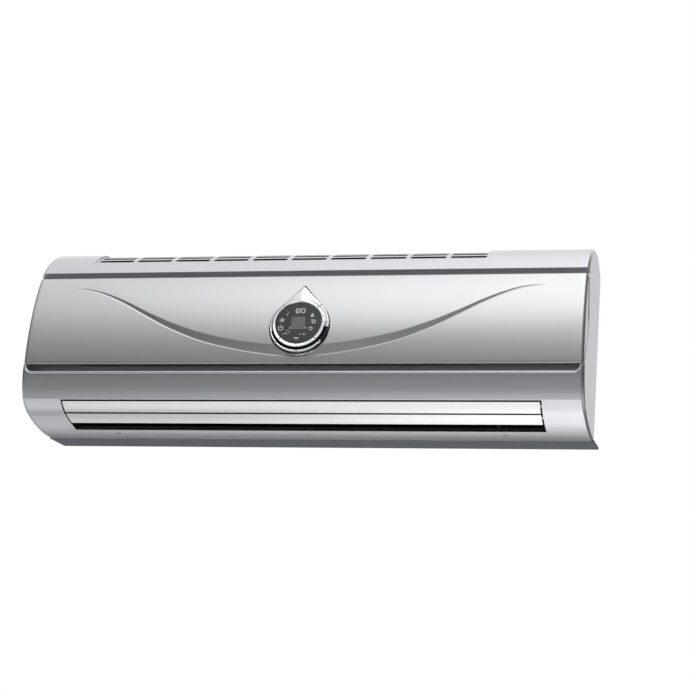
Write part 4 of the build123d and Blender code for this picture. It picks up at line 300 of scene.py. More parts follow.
def spangle(name, colour, rough):
    """Galvanised sheet with its pale crystal pattern."""
    material, tree, shader, place = new_material(name)
    cells = tree.nodes.new("ShaderNodeTexVoronoi")
    cells.inputs["Scale"].default_value = SPANGLE_SCALE
    tree.links.new(place, cells.inputs["Vector"])
    split = tree.nodes.new("ShaderNodeSeparateColor")
    tree.links.new(cells.outputs["Color"], split.inputs["Color"])
    base = colour_mix(tree, split.outputs["Red"], tint(colour, 0.88), tint(colour, 1.1))
    tree.links.new(base, shader.inputs["Base Color"])
    tree.links.new(map_range(tree, split.outputs["Green"], rough - 0.08, rough + 0.1, 0.0, 1.0),
                   shader.inputs["Roughness"])
    fine = noise_node(tree, place, 500.0)
    tree.links.new(bump_node(tree, fine, 0.04, 0.3 * MM, 0.3 * MM), shader.inputs["Normal"])
    shader.inputs["Metallic"].default_value = 0.9
    return material


def fins(name, colour, pitch):
    """Stack of thin aluminium fins, one every pitch along X, with painted shade between them."""
    material, tree, shader, place = new_material(name)
    bands = tree.nodes.new("ShaderNodeTexWave")
    bands.bands_direction = "X"
    bands.inputs["Scale"].default_value = WAVE_TURNS / pitch
    tree.links.new(place, bands.inputs["Vector"])
    # painted shade: the bands between the fins darkened
    gap_shade = map_range(tree, bands.outputs["Fac"], 0.0, 1.0, 0.15, 0.6)
    clouds = noise_node(tree, place, 60.0, 2.0)
    edge_tone = colour_mix(tree, clouds, tint(colour, 0.85), colour)
    base = colour_mix(tree, gap_shade, tint(colour, 0.16), edge_tone)
    tree.links.new(base, shader.inputs["Base Color"])
    tree.links.new(map_range(tree, clouds, 0.32, 0.45), shader.inputs["Roughness"])
    tree.links.new(bump_node(tree, bands.outputs["Fac"], 0.5, 0.8 * MM), shader.inputs["Normal"])
    shader.inputs["Metallic"].default_value = 0.8
    return material


def mesh_cloth(name, colour, pitch, opening):
    """Woven plastic net: square meshes, open between the threads."""
    material, tree, shader, place = new_material(name)
    threads = []
    for direction in "XZ":
        wave = tree.nodes.new("ShaderNodeTexWave")
        wave.bands_direction = direction
        wave.inputs["Scale"].default_value = WAVE_TURNS / pitch
        tree.links.new(place, wave.inputs["Vector"])
        threads.append(wave.outputs["Fac"])
    thread = joined(tree, "MAXIMUM", *threads)
    clouds = noise_node(tree, place, 300.0, 2.0)
    base = colour_mix(tree, clouds, tint(colour, 0.85), tint(colour, 1.1))
    tree.links.new(base, shader.inputs["Base Color"])
    tree.links.new(map_range(tree, thread, opening, 1.0, 0.5, 0.75), shader.inputs["Alpha"])
    tree.links.new(bump_node(tree, thread, 0.6, 0.4 * MM), shader.inputs["Normal"])
    shader.inputs["Roughness"].default_value = 0.55
    return material


def board(name, colour, line_colour):
    """Circuit board lacquer with tracks under it."""
    material, tree, shader, place = new_material(name)
    cells = tree.nodes.new("ShaderNodeTexVoronoi")
    cells.distance = "MANHATTAN"
    cells.feature = "F1"
    cells.inputs["Scale"].default_value = TRACK_SCALE
    cells.inputs["Randomness"].default_value = 0.7
    tree.links.new(place, cells.inputs["Vector"])
    tracks = map_range(tree, cells.outputs["Distance"], 0.0, 1.0, 0.42, 0.5)
    base = colour_mix(tree, tracks, colour, line_colour)
    tree.links.new(base, shader.inputs["Base Color"])
    fine = noise_node(tree, place, 600.0)
    tree.links.new(map_range(tree, fine, 0.25, 0.4), shader.inputs["Roughness"])
    tree.links.new(bump_node(tree, tracks, 0.3, 0.1 * MM), shader.inputs["Normal"])
    return material


looks = {
    "casing_silver": silver("casing_silver", (0.652, 0.656, 0.688), 0.3, 0.8, 0.015),
    "panel_silver": silver("panel_silver", (0.66, 0.662, 0.67), 0.3, 0.8, 0.015),
    "vane_silver": silver("vane_silver", (0.83, 0.82, 0.82), 0.26, 0.75, 0.012),
    "bezel_chrome": metal("bezel_chrome", (0.88, 0.885, 0.9), 0.09, streak_scale=60.0, depth=0.008,
                          vary=0.015),
    # painted dark reflection and painted shadow for bands of the bezel ring
    "painted_reflection_shade": metal("painted_reflection_shade", (0.025, 0.025, 0.028), 0.22, streak_scale=60.0, depth=0.008,
                         vary=0.1),
    "lens_grey": paint("lens_grey", (0.036, 0.037, 0.04), 0.24, 700.0, 0.004, 0.3, vary=0.06),
    "window_grey": paint("window_grey", (0.2, 0.2, 0.205), 0.3, 500.0, 0.01, 0.4, vary=0.06),
    # the chassis: its own blue-grey underside and painted shade above the base strip
    "chassis_grey": tone_with_painted_shade("chassis_grey", (0.105, 0.124, 0.152), (0.03, 0.031, 0.033),
                             *STRIP_TOP),
    "inner_plastic": paint("inner_plastic", (0.5, 0.5, 0.49), 0.5, 500.0, 0.1, vary=0.05),
    "black_plastic": paint("black_plastic", (0.006, 0.006, 0.0065), 0.6, 500.0, 0.1,
                           vary=0.15, gloss=0.12),
    "pan_plastic": paint("pan_plastic", (0.62, 0.62, 0.6), 0.55, 160.0, 0.2, vary=0.06),
    "galvanised_steel": spangle("galvanised_steel", (0.6, 0.62, 0.63), 0.38),
    "bright_steel": metal("bright_steel", (0.62, 0.62, 0.62), 0.28, streak_scale=700.0, depth=0.04),
    "fin_aluminium": fins("fin_aluminium", (0.72, 0.73, 0.74), 2.0 * MM),
    "copper_tube": metal("copper_tube", (0.72, 0.36, 0.22), 0.27, (0.08, 1.0, 1.0), 500.0, 0.05,
                         0.16),
    "nut_brass": metal("nut_brass", (0.72, 0.54, 0.25), 0.3, streak_scale=500.0, depth=0.06,
                       vary=0.12),
    "rubber_black": paint("rubber_black", (0.02, 0.02, 0.02), 0.72, 600.0, 0.3, vary=0.2),
    "bronze_bush": metal("bronze_bush", (0.5, 0.34, 0.17), 0.42, streak_scale=900.0, depth=0.1,
                         vary=0.1),
    "motor_metal": metal("motor_metal", (0.42, 0.43, 0.44), 0.42, streak_scale=350.0, depth=0.12),
    "board_green": board("board_green", (0.02, 0.16, 0.07), (0.09, 0.3, 0.14)),
    "net_grey": mesh_cloth("net_grey", (0.16, 0.17, 0.18), 1.8 * MM, 0.35),
}
# painted shadow: black on the vanes' meeting edges, the upper vane's front edge and the left ends
paint_shade_black(looks["vane_silver"], vane_gap_shadow)
# painted shade: black on the walls of the casing's grille slots
paint_shade_black(looks["casing_silver"], slot_wall_shade)
mark_white = paint("mark_white", (0.9, 0.9, 0.9), 0.4, 800.0, 0.03, vary=0.02)

for subpart in frame["record"]["subparts"]:
    data = nodes[subpart["node"]].data
    data.materials.clear()
    data.materials.append(looks[subpart["material_slot"]])
nodes["casing_screws"].data.materials[0] = looks["casing_silver"]


# ================================================================ mesh helpers
def clean_mesh(name, points, faces):
    """Mesh from points and faces, with equal points joined and its faces turned one way."""
    data = bpy.data.meshes.new(name)
    data.from_pydata([tuple(p) for p in points], [], faces)
    data.validate()
    work = bmesh.new()
    work.from_mesh(data)
    bmesh.ops.remove_doubles(work, verts=work.verts, dist=0.001 * MM)
    bmesh.ops.recalc_face_normals(work, faces=work.faces)
    work.to_mesh(data)
    work.free()
    return data


def new_piece(name, points, faces, body, slot, look=None, smooth=True):
    """Object from points and faces, in place, that rides on a body and looks like its slot,
    unless it has a look of its own."""
    data = clean_mesh(name, points, faces)
    for polygon in data.polygons:
        polygon.use_smooth = smooth
    data.materials.append(look or looks[slot])
    piece = bpy.data.objects.new(name, data)
    collection.objects.link(piece)
    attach(piece, body)
    return piece


def grid_faces(rows, columns, first=0, wrap=False):
    """Faces of a grid of points laid out row by row."""
    faces = []
    for row in range(rows - 1):
        for column in range(columns if wrap else columns - 1):
            following = (column + 1) % columns
            a = first + row * columns + column
            b = first + row * columns + following
            faces.append((a, b, b + columns, a + columns))
    return faces


def side_faces(first, count):
    """Faces between two rings of points, of which the second follows the first."""
    ring = range(first, first + count)
    turned = [*ring[1:], first]
    return [(a, b, b + count, a + count) for a, b in zip(ring, turned)]


def closed_faces(first, count):
    """The same faces and one to close each ring."""
    lower = tuple(range(first, first + count))
    upper = tuple(range(first + 2 * count - 1, first + count - 1, -1))
    return side_faces(first, count) + [lower, upper]


def full_turn(count):
    """Directions that share a full turn equally."""
    return [2 * math.pi * step / count for step in range(count)]


def round_outline(centre, radius, count):
    """Points of a circle."""
    return [(centre[0] + radius * math.cos(angle), centre[1] + radius * math.sin(angle))
            for angle in full_turn(count)]


def circle_through(first, second, third):
    """Centre and radius of the circle through three section points."""
    ax, ay = second[0] - first[0], second[1] - first[1]
    bx, by = third[0] - first[0], third[1] - first[1]
    twice = 2 * (ax * by - ay * bx)
    east = (by * (ax * ax + ay * ay) - ay * (bx * bx + by * by)) / twice
    north = (ax * (bx * bx + by * by) - bx * (ax * ax + ay * ay)) / twice
    return (first[0] + east, first[1] + north), math.hypot(east, north)


def curve_through(knots, x):
    """Height at x of a smooth line through a list of (x, height) knots."""
    if x <= knots[0][0]:
        return knots[0][1]
    if x >= knots[-1][0]:
        return knots[-1][1]
    index = max(i for i, knot in enumerate(knots[:-1]) if knot[0] <= x)
    (x0, z0), (x1, z1) = knots[index], knots[index + 1]
    before = knots[index - 1] if index > 0 else None
    after = knots[index + 2] if index + 2 < len(knots) else None
    span = x1 - x0
    slope = (z1 - z0) / span
    start = (z1 - before[1]) / (x1 - before[0]) if before else slope
    end = (after[1] - z0) / (after[0] - x0) if after else slope
    t = (x - x0) / span
    return ((2 * t**3 - 3 * t**2 + 1) * z0 + (t**3 - 2 * t**2 + t) * span * start
            + (3 * t**2 - 2 * t**3) * z1 + (t**3 - t**2) * span * end)


PANEL_CENTRE, PANEL_RADIUS = circle_through(PANEL_TOP, PANEL_MIDDLE, PANEL_END)


def panel_point(height):
    """Section point of the panel's outer face at a height."""
    rise = height - PANEL_CENTRE[1]
    return (PANEL_CENTRE[0] + math.sqrt(PANEL_RADIUS**2 - rise**2), height)


def panel_normal(height):
    """The face's outward normal there, as a section pair."""
    depth, _ = panel_point(height)
    return ((depth - PANEL_CENTRE[0]) / PANEL_RADIUS, (height - PANEL_CENTRE[1]) / PANEL_RADIUS)


def display_point(east, north, rise):
    """Point in the display's frame: east is +X, north is up its face, rise is off the panel."""
    reach = PANEL_RADIUS + rise
    out = Vector((0, -math.cos(DISPLAY_TILT), math.sin(DISPLAY_TILT)))
    up = Vector((0, math.sin(DISPLAY_TILT), math.cos(DISPLAY_TILT)))
    origin = Vector((0, -PANEL_CENTRE[0], PANEL_CENTRE[1])) + out * reach
    return origin + up * north + Vector((east, 0, 0))


# ================================================================ front panel
# upper and lower edge of the smile's band, as millimetres from the middle and height
SMILE_UPPER = [(0, -27), (45, -25), (98, -17.5), (150, -5.5), (200, 12), (240, 30), (272, 46),
               (303, 59.5), (332, 68.5), (368, 72.5)]
SMILE_LOWER = [(0, -42), (45, -38.5), (98, -29.5), (150, -16.5), (200, 3.5), (240, 24.5),
               (272, 42.5), (303, 57.5), (332, 67.6), (368, 72.0)]
SMILE_HALF = 368.0 * MM
SMILE_FADE = 2.2                 # how late the relief fades towards the tips
SMILE_PROUD = 1.5 * MM           # plate above the smile, over the panel's own curve
SMILE_SUNK = 2.0 * MM            # foot of the band, under it
SMILE_LEDGE = 1.5 * MM           # height of the small ledge at the band's foot
LEDGE_LEAST = 0.15               # share of it that is left at the tips
EDGE_ROUND = 1.5 * MM            # rounding of the panel's upper and lower edge
CURVE_UPPER = [(x * MM, z * MM) for x, z in SMILE_UPPER]
CURVE_LOWER = [(x * MM, z * MM) for x, z in SMILE_LOWER]
ROUNDING = [(0.0, 1.0), (0.13, 0.5), (0.29, 0.29), (0.5, 0.13), (0.75, 0.03), (1.0, 0.0)]
# shares of the way at which rows of points lie, closer where the face bends
ROWS_ABOVE = [0.06, 0.14, 0.24, 0.34, 0.44, 0.54, 0.64, 0.73, 0.81, 0.88, 0.93, 0.965, 0.985, 1.0]
ROWS_BAND = [0.03, 0.08, 0.25, 0.5, 0.75, 0.92, 0.97, 1.0]
ROWS_LEDGE = [0.15, 0.5, 0.85, 1.0]
ROWS_BELOW = [0.03, 0.1, 0.2, 0.32, 0.45, 0.6, 0.75, 0.88, 0.96]
PANEL_COLUMNS = 190
FILLET_STEPS = 7
FLANGE_STEPS = 4
FLANGE_LEAST = 0.4 * MM
FLANGE_TOP_REACH = 3.2 * MM      # at the upper edge, which swings close to the groove's floor
FLANGE_INSET = 0.9 * MM          # the panel's ends sit a little inside the casing's
SEAM_FARTHEST = 60.0 * MM
SEAM_SLACK = 0.02                # share by which a stretch of the seam counts as longer
PARALLEL = 1e-9                  # under this, two directions don't meet
FLAT_HALF = HALF_FRONT - EDGE_RADIUS
LENS_GAP = 0.4 * MM              # between the lens and the panel's opening
CUT_REACH = 20.0 * MM


def smile_share(x):
    """Strength of the relief at x: all of it in the middle, none of it at the tips."""
    return 1 - min(1.0, abs(x) / SMILE_HALF) ** SMILE_FADE


def panel_rows(x):
    """Height and offset of every row of the panel's grid at x."""
    side = min(abs(x), SMILE_HALF)
    upper = curve_through(CURVE_UPPER, side)
    lower = curve_through(CURVE_LOWER, side)
    share = smile_share(x)
    proud, sunk = SMILE_PROUD * share, SMILE_SUNK * share
    top = PANEL_UPPER_EDGE - EDGE_ROUND
    foot = PANEL_END[1] + EDGE_ROUND
    ledge = lower - SMILE_LEDGE * (LEDGE_LEAST + (1 - LEDGE_LEAST) * share)
    rows = [(PANEL_UPPER_EDGE - EDGE_ROUND * down, -EDGE_ROUND * back) for down, back in ROUNDING]
    for t in ROWS_ABOVE:
        rows.append((top + (upper - top) * t, proud * t * t * (3 - 2 * t)))
    for t in ROWS_BAND:
        rows.append((upper + (lower - upper) * t, proud - (proud + sunk) * t))
    for t in ROWS_LEDGE:
        rows.append((lower + (ledge - lower) * t, -sunk * (1 - t)))
    for t in ROWS_BELOW:
        rows.append((ledge + (foot - ledge) * t, 0.0))
    rows += [(PANEL_END[1] + EDGE_ROUND * down, -EDGE_ROUND * back)
             for down, back in reversed(ROUNDING)]
    return rows


def seam_reach(height):
    """How far the panel's end reaches back from its face, square to it, up to the seam."""
    start, normal = panel_point(height), panel_normal(height)
    nearest = SEAM_FARTHEST
    for (d0, z0), (d1, z1) in zip(SEAM[:-1], SEAM[1:]):
        run, rise = d1 - d0, z1 - z0
        cross = -normal[0] * rise + normal[1] * run
        if abs(cross) < PARALLEL:
            continue
        along = ((d0 - start[0]) * rise - (z0 - start[1]) * run) / cross
        part = (((d0 - start[0]) * -normal[1]) - ((z0 - start[1]) * -normal[0])) / cross
        if -SEAM_SLACK <= part <= 1 + SEAM_SLACK and 0 < along < nearest:
            nearest = along
    return nearest


def end_x(depth):
    """Half the unit's length at a distance from the wall."""
    return HALF_FRONT + END_FLARE * (1 - depth / DEPTH)


def off_panel(height, offset):
    """Section point at an offset from the panel's outer face, and the face's normal there."""
    point, normal = panel_point(height), panel_normal(height)
    return (point[0] + normal[0] * offset, point[1] + normal[1] * offset), normal


def panel_end(height, offset):
    """A row's points at the right end of the panel: round its edge and back along its flange."""
    point, normal = off_panel(height, offset)
    swing_room = FLANGE_TOP_REACH + PANEL_UPPER_EDGE - height
    reach = max(min(seam_reach(height) + offset, swing_room), FLANGE_LEAST)
    short = reach < EDGE_RADIUS
    turn = math.acos(max(0.0, 1 - reach / EDGE_RADIUS)) if short else math.pi / 2
    end_points = []
    for step in range(1, FILLET_STEPS + 1):
        angle = turn * step / FILLET_STEPS
        back = EDGE_RADIUS * (1 - math.cos(angle))
        depth, z = point[0] - normal[0] * back, point[1] - normal[1] * back
        inset = EDGE_RADIUS * (1 - math.sin(angle)) + FLANGE_INSET * step / FILLET_STEPS
        end_points.append(Vector((end_x(depth) - inset, -depth, z)))
    for step in range(1, FLANGE_STEPS + 1):
        back = reach if short else EDGE_RADIUS + (reach - EDGE_RADIUS) * step / FLANGE_STEPS
        depth, z = point[0] - normal[0] * back, point[1] - normal[1] * back
        x = end_points[FILLET_STEPS - 1].x if short else end_x(depth) - FLANGE_INSET
        end_points.append(Vector((x, -depth, z)))
    return end_points


panel_xs = [FLAT_HALF * (2 * column / PANEL_COLUMNS - 1) for column in range(PANEL_COLUMNS + 1)]
panel_grid = [panel_rows(x) for x in panel_xs]
row_count = len(panel_grid[0])
panel_points = []
for row in range(row_count):
    line = []
    for x, rows in zip(panel_xs, panel_grid):
        (depth, z), _ = off_panel(*rows[row])
        line.append(Vector((x, -depth, z)))
    right_side = panel_end(*panel_grid[-1][row])
    left_side = [Vector((-p.x, p.y, p.z)) for p in reversed(right_side)]
    panel_points += left_side + line + right_side
panel_piece = new_piece("panel_shell", panel_points,
                        grid_faces(row_count, len(panel_points) // row_count),
                        "panel", "panel_silver")


def apply_modifiers(piece):
    """Keep the result of the piece's modifiers as its mesh."""
    graph = bpy.context.evaluated_depsgraph_get()
    result = bpy.data.meshes.new_from_object(piece.evaluated_get(graph))
    piece.modifiers.clear()
    piece.data = result


# the faces look outwards, and the shell's thickness goes inwards from them
bpy.context.view_layer.update()
outward = sum((p.normal.y for p in panel_piece.data.polygons), 0.0)
if outward > 0:
    panel_piece.data.flip_normals()
solid = panel_piece.modifiers.new("thickness", "SOLIDIFY")
solid.thickness = SHELL
solid.offset = -1.0
apply_modifiers(panel_piece)


def disc_cutter(radius, low, high, count=96):
    """Round plug square to the display, used to cut its opening."""
    outline = round_outline((0, 0), radius, count)
    points = [display_point(*place, rise) for rise in (low, high) for place in outline]
    data = clean_mesh("cutter", points, closed_faces(0, count))
    cutter = bpy.data.objects.new("cutter", data)
    collection.objects.link(cutter)
    return cutter


cutter = disc_cutter(LENS_RADIUS + LENS_GAP, -CUT_REACH, CUT_REACH)
opening = panel_piece.modifiers.new("opening", "BOOLEAN")
opening.operation = "DIFFERENCE"
opening.solver = "EXACT"
opening.object = cutter
bpy.context.view_layer.update()
apply_modifiers(panel_piece)
bpy.data.objects.remove(cutter)


def prism(points, faces, outline, x_low, x_high):
    """Add a bar along X, whose section is a list of section points, to points and faces."""
    faces.extend(closed_faces(len(points), len(outline)))
    for x in (x_low, x_high):
        points.extend(Vector((x, -depth, z)) for depth, z in outline)


def round_bar(points, faces, centre, radius, x_low, x_high, count=28):
    """Add a round bar along X."""
    prism(points, faces, round_outline(centre, radius, count), x_low, x_high)


def bevel(piece, width, segments=2):
    """Round every hard edge of a piece."""
    modifier = piece.modifiers.new("edges", "BEVEL")
    modifier.width = width
    modifier.segments = segments
    modifier.limit_method = "ANGLE"
    modifier.angle_limit = math.radians(32)
    modifier.harden_normals = False
    apply_modifiers(piece)
    for polygon in piece.data.polygons:
        polygon.use_smooth = True


# hinge lugs and pins behind the panel's upper edge; the outline is in millimetres from the hinge
LUG_OUTLINE = [(-1.5, -2.3), (8.0, -2.3), (5.5, 3.4), (1.0, 3.4)]
LUG_HALF = 3.0 * MM
LUG_RADIUS = 3.8 * MM
PIN_HALF = 6.0 * MM
PIN_RADIUS = 2.5 * MM
LUG_BEVEL = 0.25 * MM
lug_section = [(HINGE[0] + depth * MM, HINGE[1] + height * MM) for depth, height in LUG_OUTLINE]
hinge_points, hinge_faces = [], []
for x in HINGE_XS:
    prism(hinge_points, hinge_faces, lug_section, x - LUG_HALF, x + LUG_HALF)
    round_bar(hinge_points, hinge_faces, HINGE, LUG_RADIUS, x - LUG_HALF, x + LUG_HALF)
    round_bar(hinge_points, hinge_faces, HINGE, PIN_RADIUS, x - PIN_HALF, x + PIN_HALF)
hinge_piece = new_piece("panel_hinge_lugs", hinge_points, hinge_faces, "panel", "panel_silver",
                        smooth=False)
bevel(hinge_piece, LUG_BEVEL)
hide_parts("front_panel")

# ================================================================ lip under the lower groove
GROOVE_LINE = -65.5 * MM
GROOVE_HALF = 418.0 * MM
GROOVE_CORNER = 8.0 * MM
CORNER_STEPS = 8
STRAIGHT_STEPS = 60
# how far from the groove's edge and how far off the casing, in millimetres
LIP_PROFILE = [(0.0, -0.6), (0.05, 0.1), (0.3, 0.3), (1.2, 0.65), (2.3, 0.95), (2.8, 0.95),
               (3.2, 0.75), (3.5, 0.35), (3.7, -0.3)]
# the casing's face: straight and leaning down to the first point, then an arc through all three
FACE_POINTS = [(DEPTH, -64.0 * MM), (213.2 * MM, -88.0 * MM), (207.0 * MM, -106.0 * MM)]
FACE_LEAN = 0.2
FACE_CENTRE, FACE_RADIUS = circle_through(*FACE_POINTS)


def casing_depth(height):
    """Distance from the wall of the casing's face beside the lower groove."""
    top_depth, top = FACE_POINTS[0]
    if height > top:
        return top_depth - (height - top) * FACE_LEAN
    return FACE_CENTRE[0] + math.sqrt(FACE_RADIUS**2 - (height - FACE_CENTRE[1]) ** 2)


# the lip's way along the groove's edge: X, height and the direction away from the groove
lip_corner = []
for step in range(CORNER_STEPS, -1, -1):
    angle = math.radians(90 * step / CORNER_STEPS)
    lip_corner.append((-GROOVE_HALF + GROOVE_CORNER * (1 - math.sin(angle)),
                       GROOVE_LINE + GROOVE_CORNER * (1 - math.cos(angle)),
                       -math.sin(angle), -math.cos(angle)))
straight = GROOVE_HALF - GROOVE_CORNER
lip_path = list(lip_corner)
for step in range(1, STRAIGHT_STEPS):
    lip_path.append((straight * (2 * step / STRAIGHT_STEPS - 1), GROOVE_LINE, 0.0, -1.0))
lip_path += [(-x, z, -nx, nz) for x, z, nx, nz in reversed(lip_corner)]
lip_points = []
for x, z, nx, nz in lip_path:
    for away, rise in LIP_PROFILE:
        height = z + nz * away * MM
        lip_points.append(Vector((x + nx * away * MM, -(casing_depth(height) + rise * MM), height)))
new_piece("casing_lip", lip_points, grid_faces(len(lip_path), len(LIP_PROFILE)),
          "unit", "casing_silver")

# ================================================================ bezel
# heights in the display's frame of the round part's centre and of the tip
BEZEL_CENTRE = -4.3 * MM
BEZEL_RADIUS = 46.7 * MM
BEZEL_TIP = 65.0 * MM
BEZEL_SHIFT = 2.0 * MM           # the ring stands a little to the right of the lens
TIP_SHIFT = 1.8 * MM             # and its tip a little more
BEZEL_STEPS = 180
RING_GAP = 0.3 * MM              # between the lens and the ring
RIDGE = 0.52                     # share at which the ring is highest
RIDGE_TIP = 0.4                  # it moves towards the lens by this much at the tip
# share of the way from the opening to the outer edge, height over the panel on the round part,
# and height at the tip, in millimetres
BEZEL_PROFILE = [(0.0, -0.5, -0.5), (0.0, 1.8, 1.8), (0.03, 3.2, 3.2), (0.07, 3.8, 3.7),
                 (0.14, 3.95, 3.9), (0.28, 4.05, 3.95), (0.36, 4.1, 3.95), (0.4, 3.95, 3.95),
                 (0.47, 3.5, 3.95), (0.55, 2.9, 3.95), (0.6, 2.55, 3.95), (0.63, 2.6, 3.9),
                 (0.67, 2.95, 3.9), (0.71, 3.1, 3.85), (0.78, 3.1, 3.75), (0.83, 2.9, 3.5),
                 (0.88, 2.4, 3.0), (0.94, 1.7, 2.2), (0.98, 1.2, 1.5), (1.0, 0.3, 0.3),
                 (1.0, -5.0, -5.0)]
# seams across the ring: where they are, their half width at a radius, and their section, as
# half widths to the side and share of the full depth
SEAM_ANGLES = [math.radians(a) for a in (0, 45, 135, 180, 225, 270, 315)]
SEAM_HALF = 0.55 * MM / (41 * MM)
SEAM_SECTION = [(-1.6, 0.0), (-1.0, 0.15), (-0.65, 1.0), (0.65, 1.0), (1.0, 0.15), (1.6, 0.0)]
SEAM_CLEAR = math.radians(1.6)
SEAM_DEPTH = 0.9 * MM
SEAM_ABOVE = 0.5                 # the profile's points over this height have the seams
# bands of the ring painted near black: painted dark reflection on the groove and the sides, painted
# shadow on the outlines; share from and up to, angle from and to in degrees
PAINTED_REFLECTION_BANDS = [(0.36, 0.67, 196, 352),      # groove below the lens
              (0.36, 0.83, 318, 352),      # lower right side
              (0.83, 1.0, 186, 222),       # outer left side
              (0.88, 1.0, 160, 360),       # outline of the round part
              (0.94, 1.0, -1, 361)]        # outline of the whole ring


def bezel_reach(angle):
    """Distance from the display's centre to the teardrop's outer edge in a direction."""
    reach = BEZEL_TIP - BEZEL_CENTRE
    lean = math.asin(BEZEL_RADIUS / reach)
    side = Vector((BEZEL_RADIUS * math.cos(lean), BEZEL_CENTRE + BEZEL_RADIUS * math.sin(lean)))
    ray = Vector((math.cos(angle), math.sin(angle)))
    limit = math.atan2(side.y, side.x)
    folded = angle % (2 * math.pi)
    if limit < folded < math.pi - limit:
        hand = -1 if folded > math.pi / 2 else 1
        edge = Vector((-hand * side.x, BEZEL_TIP - side.y))
        origin = Vector((hand * side.x, side.y))
        cross = ray.x * edge.y - ray.y * edge.x
        return (origin.x * edge.y - origin.y * edge.x) / cross
    b = -ray.y * BEZEL_CENTRE
    return -b + math.sqrt(b * b - BEZEL_CENTRE**2 + BEZEL_RADIUS**2)


bezel_angles = []
for angle in full_turn(BEZEL_STEPS):
    close = min(abs((angle - s + math.pi) % (2 * math.pi) - math.pi) for s in SEAM_ANGLES)
    if close > SEAM_CLEAR:
        bezel_angles.append((angle, 0.0))
for seam in SEAM_ANGLES:
    for shift, drop in SEAM_SECTION:
        bezel_angles.append(((seam + shift * SEAM_HALF) % (2 * math.pi), drop))
bezel_angles.sort()
bezel_points = []
inner_edge = LENS_RADIUS + RING_GAP
for share, round_rise, tip_rise in BEZEL_PROFILE:
    for angle, drop in bezel_angles:
        upward = max(0.0, math.sin(angle))
        rise = round_rise + (tip_rise - round_rise) * upward**4
        ridge = RIDGE - RIDGE_TIP * upward**3
        if share < RIDGE:
            placed = share * ridge / RIDGE
        else:
            placed = 1 - (1 - share) * (1 - ridge) / (1 - RIDGE)
        radius = inner_edge + (bezel_reach(angle) - inner_edge) * placed
        lean = BEZEL_SHIFT + TIP_SHIFT * (radius * upward / BEZEL_TIP) ** 2
        tall = rise * MM - (drop * SEAM_DEPTH if rise > SEAM_ABOVE else 0.0)
        east = radius * math.cos(angle) + lean * placed
        bezel_points.append(display_point(east, radius * math.sin(angle), tall))
bezel_piece = new_piece("display_bezel_ring", bezel_points,
                        grid_faces(len(BEZEL_PROFILE), len(bezel_angles), wrap=True),
                        "panel", "bezel_chrome")
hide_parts("display_bezel")
# the ring's second material: painted dark reflection and painted shadow on the faces in the bands
bezel_piece.data.materials.append(looks["painted_reflection_shade"])
for row, (share, _, _) in enumerate(BEZEL_PROFILE[:-2]):
    for column, (angle, _) in enumerate(bezel_angles):
        degrees = math.degrees(angle)
        if any(low <= share < high and start < degrees < end
               for low, high, start, end in PAINTED_REFLECTION_BANDS):
            face = bezel_piece.data.polygons[row * len(bezel_angles) + column]
            face.material_index = 1

# ================================================================ display marks
MARK_RISE = 2.5 * MM             # the display's face over the panel
MARK_SUNK = 0.05 * MM
MARK_HEIGHT = 0.12 * MM
mark_points, mark_faces = [], []


def mark_shape(outline):
    """Add a thin raised mark, given as corner points in the display's frame, in millimetres."""
    first, count = len(mark_points), len(outline)
    for height in (MARK_RISE - MARK_SUNK, MARK_RISE + MARK_HEIGHT):
        for east, north in outline:
            mark_points.append(display_point(east * MM, north * MM, height))
    mark_faces.extend(side_faces(first, count))
    mark_faces.append(tuple(range(first + count, first + 2 * count)))


def mark_bar(x0, y0, x1, y1, width):
    """Add a straight bar between two points."""
    run, climb = x1 - x0, y1 - y0
    length = math.hypot(run, climb)
    nx, ny = -climb / length * width / 2, run / length * width / 2
    mark_shape([(x0 + nx, y0 + ny), (x0 - nx, y0 - ny), (x1 - nx, y1 - ny), (x1 + nx, y1 + ny)])


def mark_arc(cx, cy, radius, start, end, width, count=18):
    """Add an arc between two directions in degrees."""
    inner, outer = radius - width / 2, radius + width / 2
    for step in range(count):
        a = math.radians(start + (end - start) * step / count)
        b = math.radians(start + (end - start) * (step + 1) / count)
        corners = ((inner, a), (inner, b), (outer, b), (outer, a))
        mark_shape([(cx + r * math.cos(t), cy + r * math.sin(t)) for r, t in corners])


def mark_dot(cx, cy, radius, count=16):
    """Add a round dot."""
    mark_shape(round_outline((cx, cy), radius, count))


# the seven bars of a figure, as shares of its width and height
SEGMENTS = {"a": (0, 1, 1, 1), "b": (1, 1, 1, 0.5), "c": (1, 0.5, 1, 0), "d": (0, 0, 1, 0),
            "e": (0, 0, 0, 0.5), "f": (0, 0.5, 0, 1), "g": (0, 0.5, 1, 0.5)}
FIGURE_FOOT = 17.2
FIGURE_WIDE = 5.0
FIGURE_TALL = 6.8
FIGURE_LINE = 1.7


def figure(left, lit):
    """Add a seven-bar figure with the lit bars."""
    for key in lit:
        x0, y0, x1, y1 = SEGMENTS[key]
        mark_bar(left + x0 * FIGURE_WIDE, FIGURE_FOOT + y0 * FIGURE_TALL,
                 left + x1 * FIGURE_WIDE, FIGURE_FOOT + y1 * FIGURE_TALL, FIGURE_LINE)


# two figures at the top
figure(-5.0, "acdefg")
figure(3.0, "abcdef")
mark_bar(0.9, 21.2, 1.9, 24.4, 1.1)
# crescent on the left
mark_arc(-19.3, 17.4, 2.3, -75, 75, 0.6)
mark_dot(-18.6, 13.8, 1.0)
# sun
SUN = (-25.0, 4.8)
RAY_FROM, RAY_TO = 2.9, 4.4
mark_dot(*SUN, 2.2)
for ray in range(8):
    a = math.radians(45 * ray + 10)
    mark_bar(SUN[0] + RAY_FROM * math.cos(a), SUN[1] + RAY_FROM * math.sin(a),
             SUN[0] + RAY_TO * math.cos(a), SUN[1] + RAY_TO * math.sin(a), 0.8)
# power switch
mark_arc(-26.0, -8.5, 3.5, 125, 415, 1.3, 24)
mark_bar(-26.0, -8.0, -26.0, -3.6, 1.4)
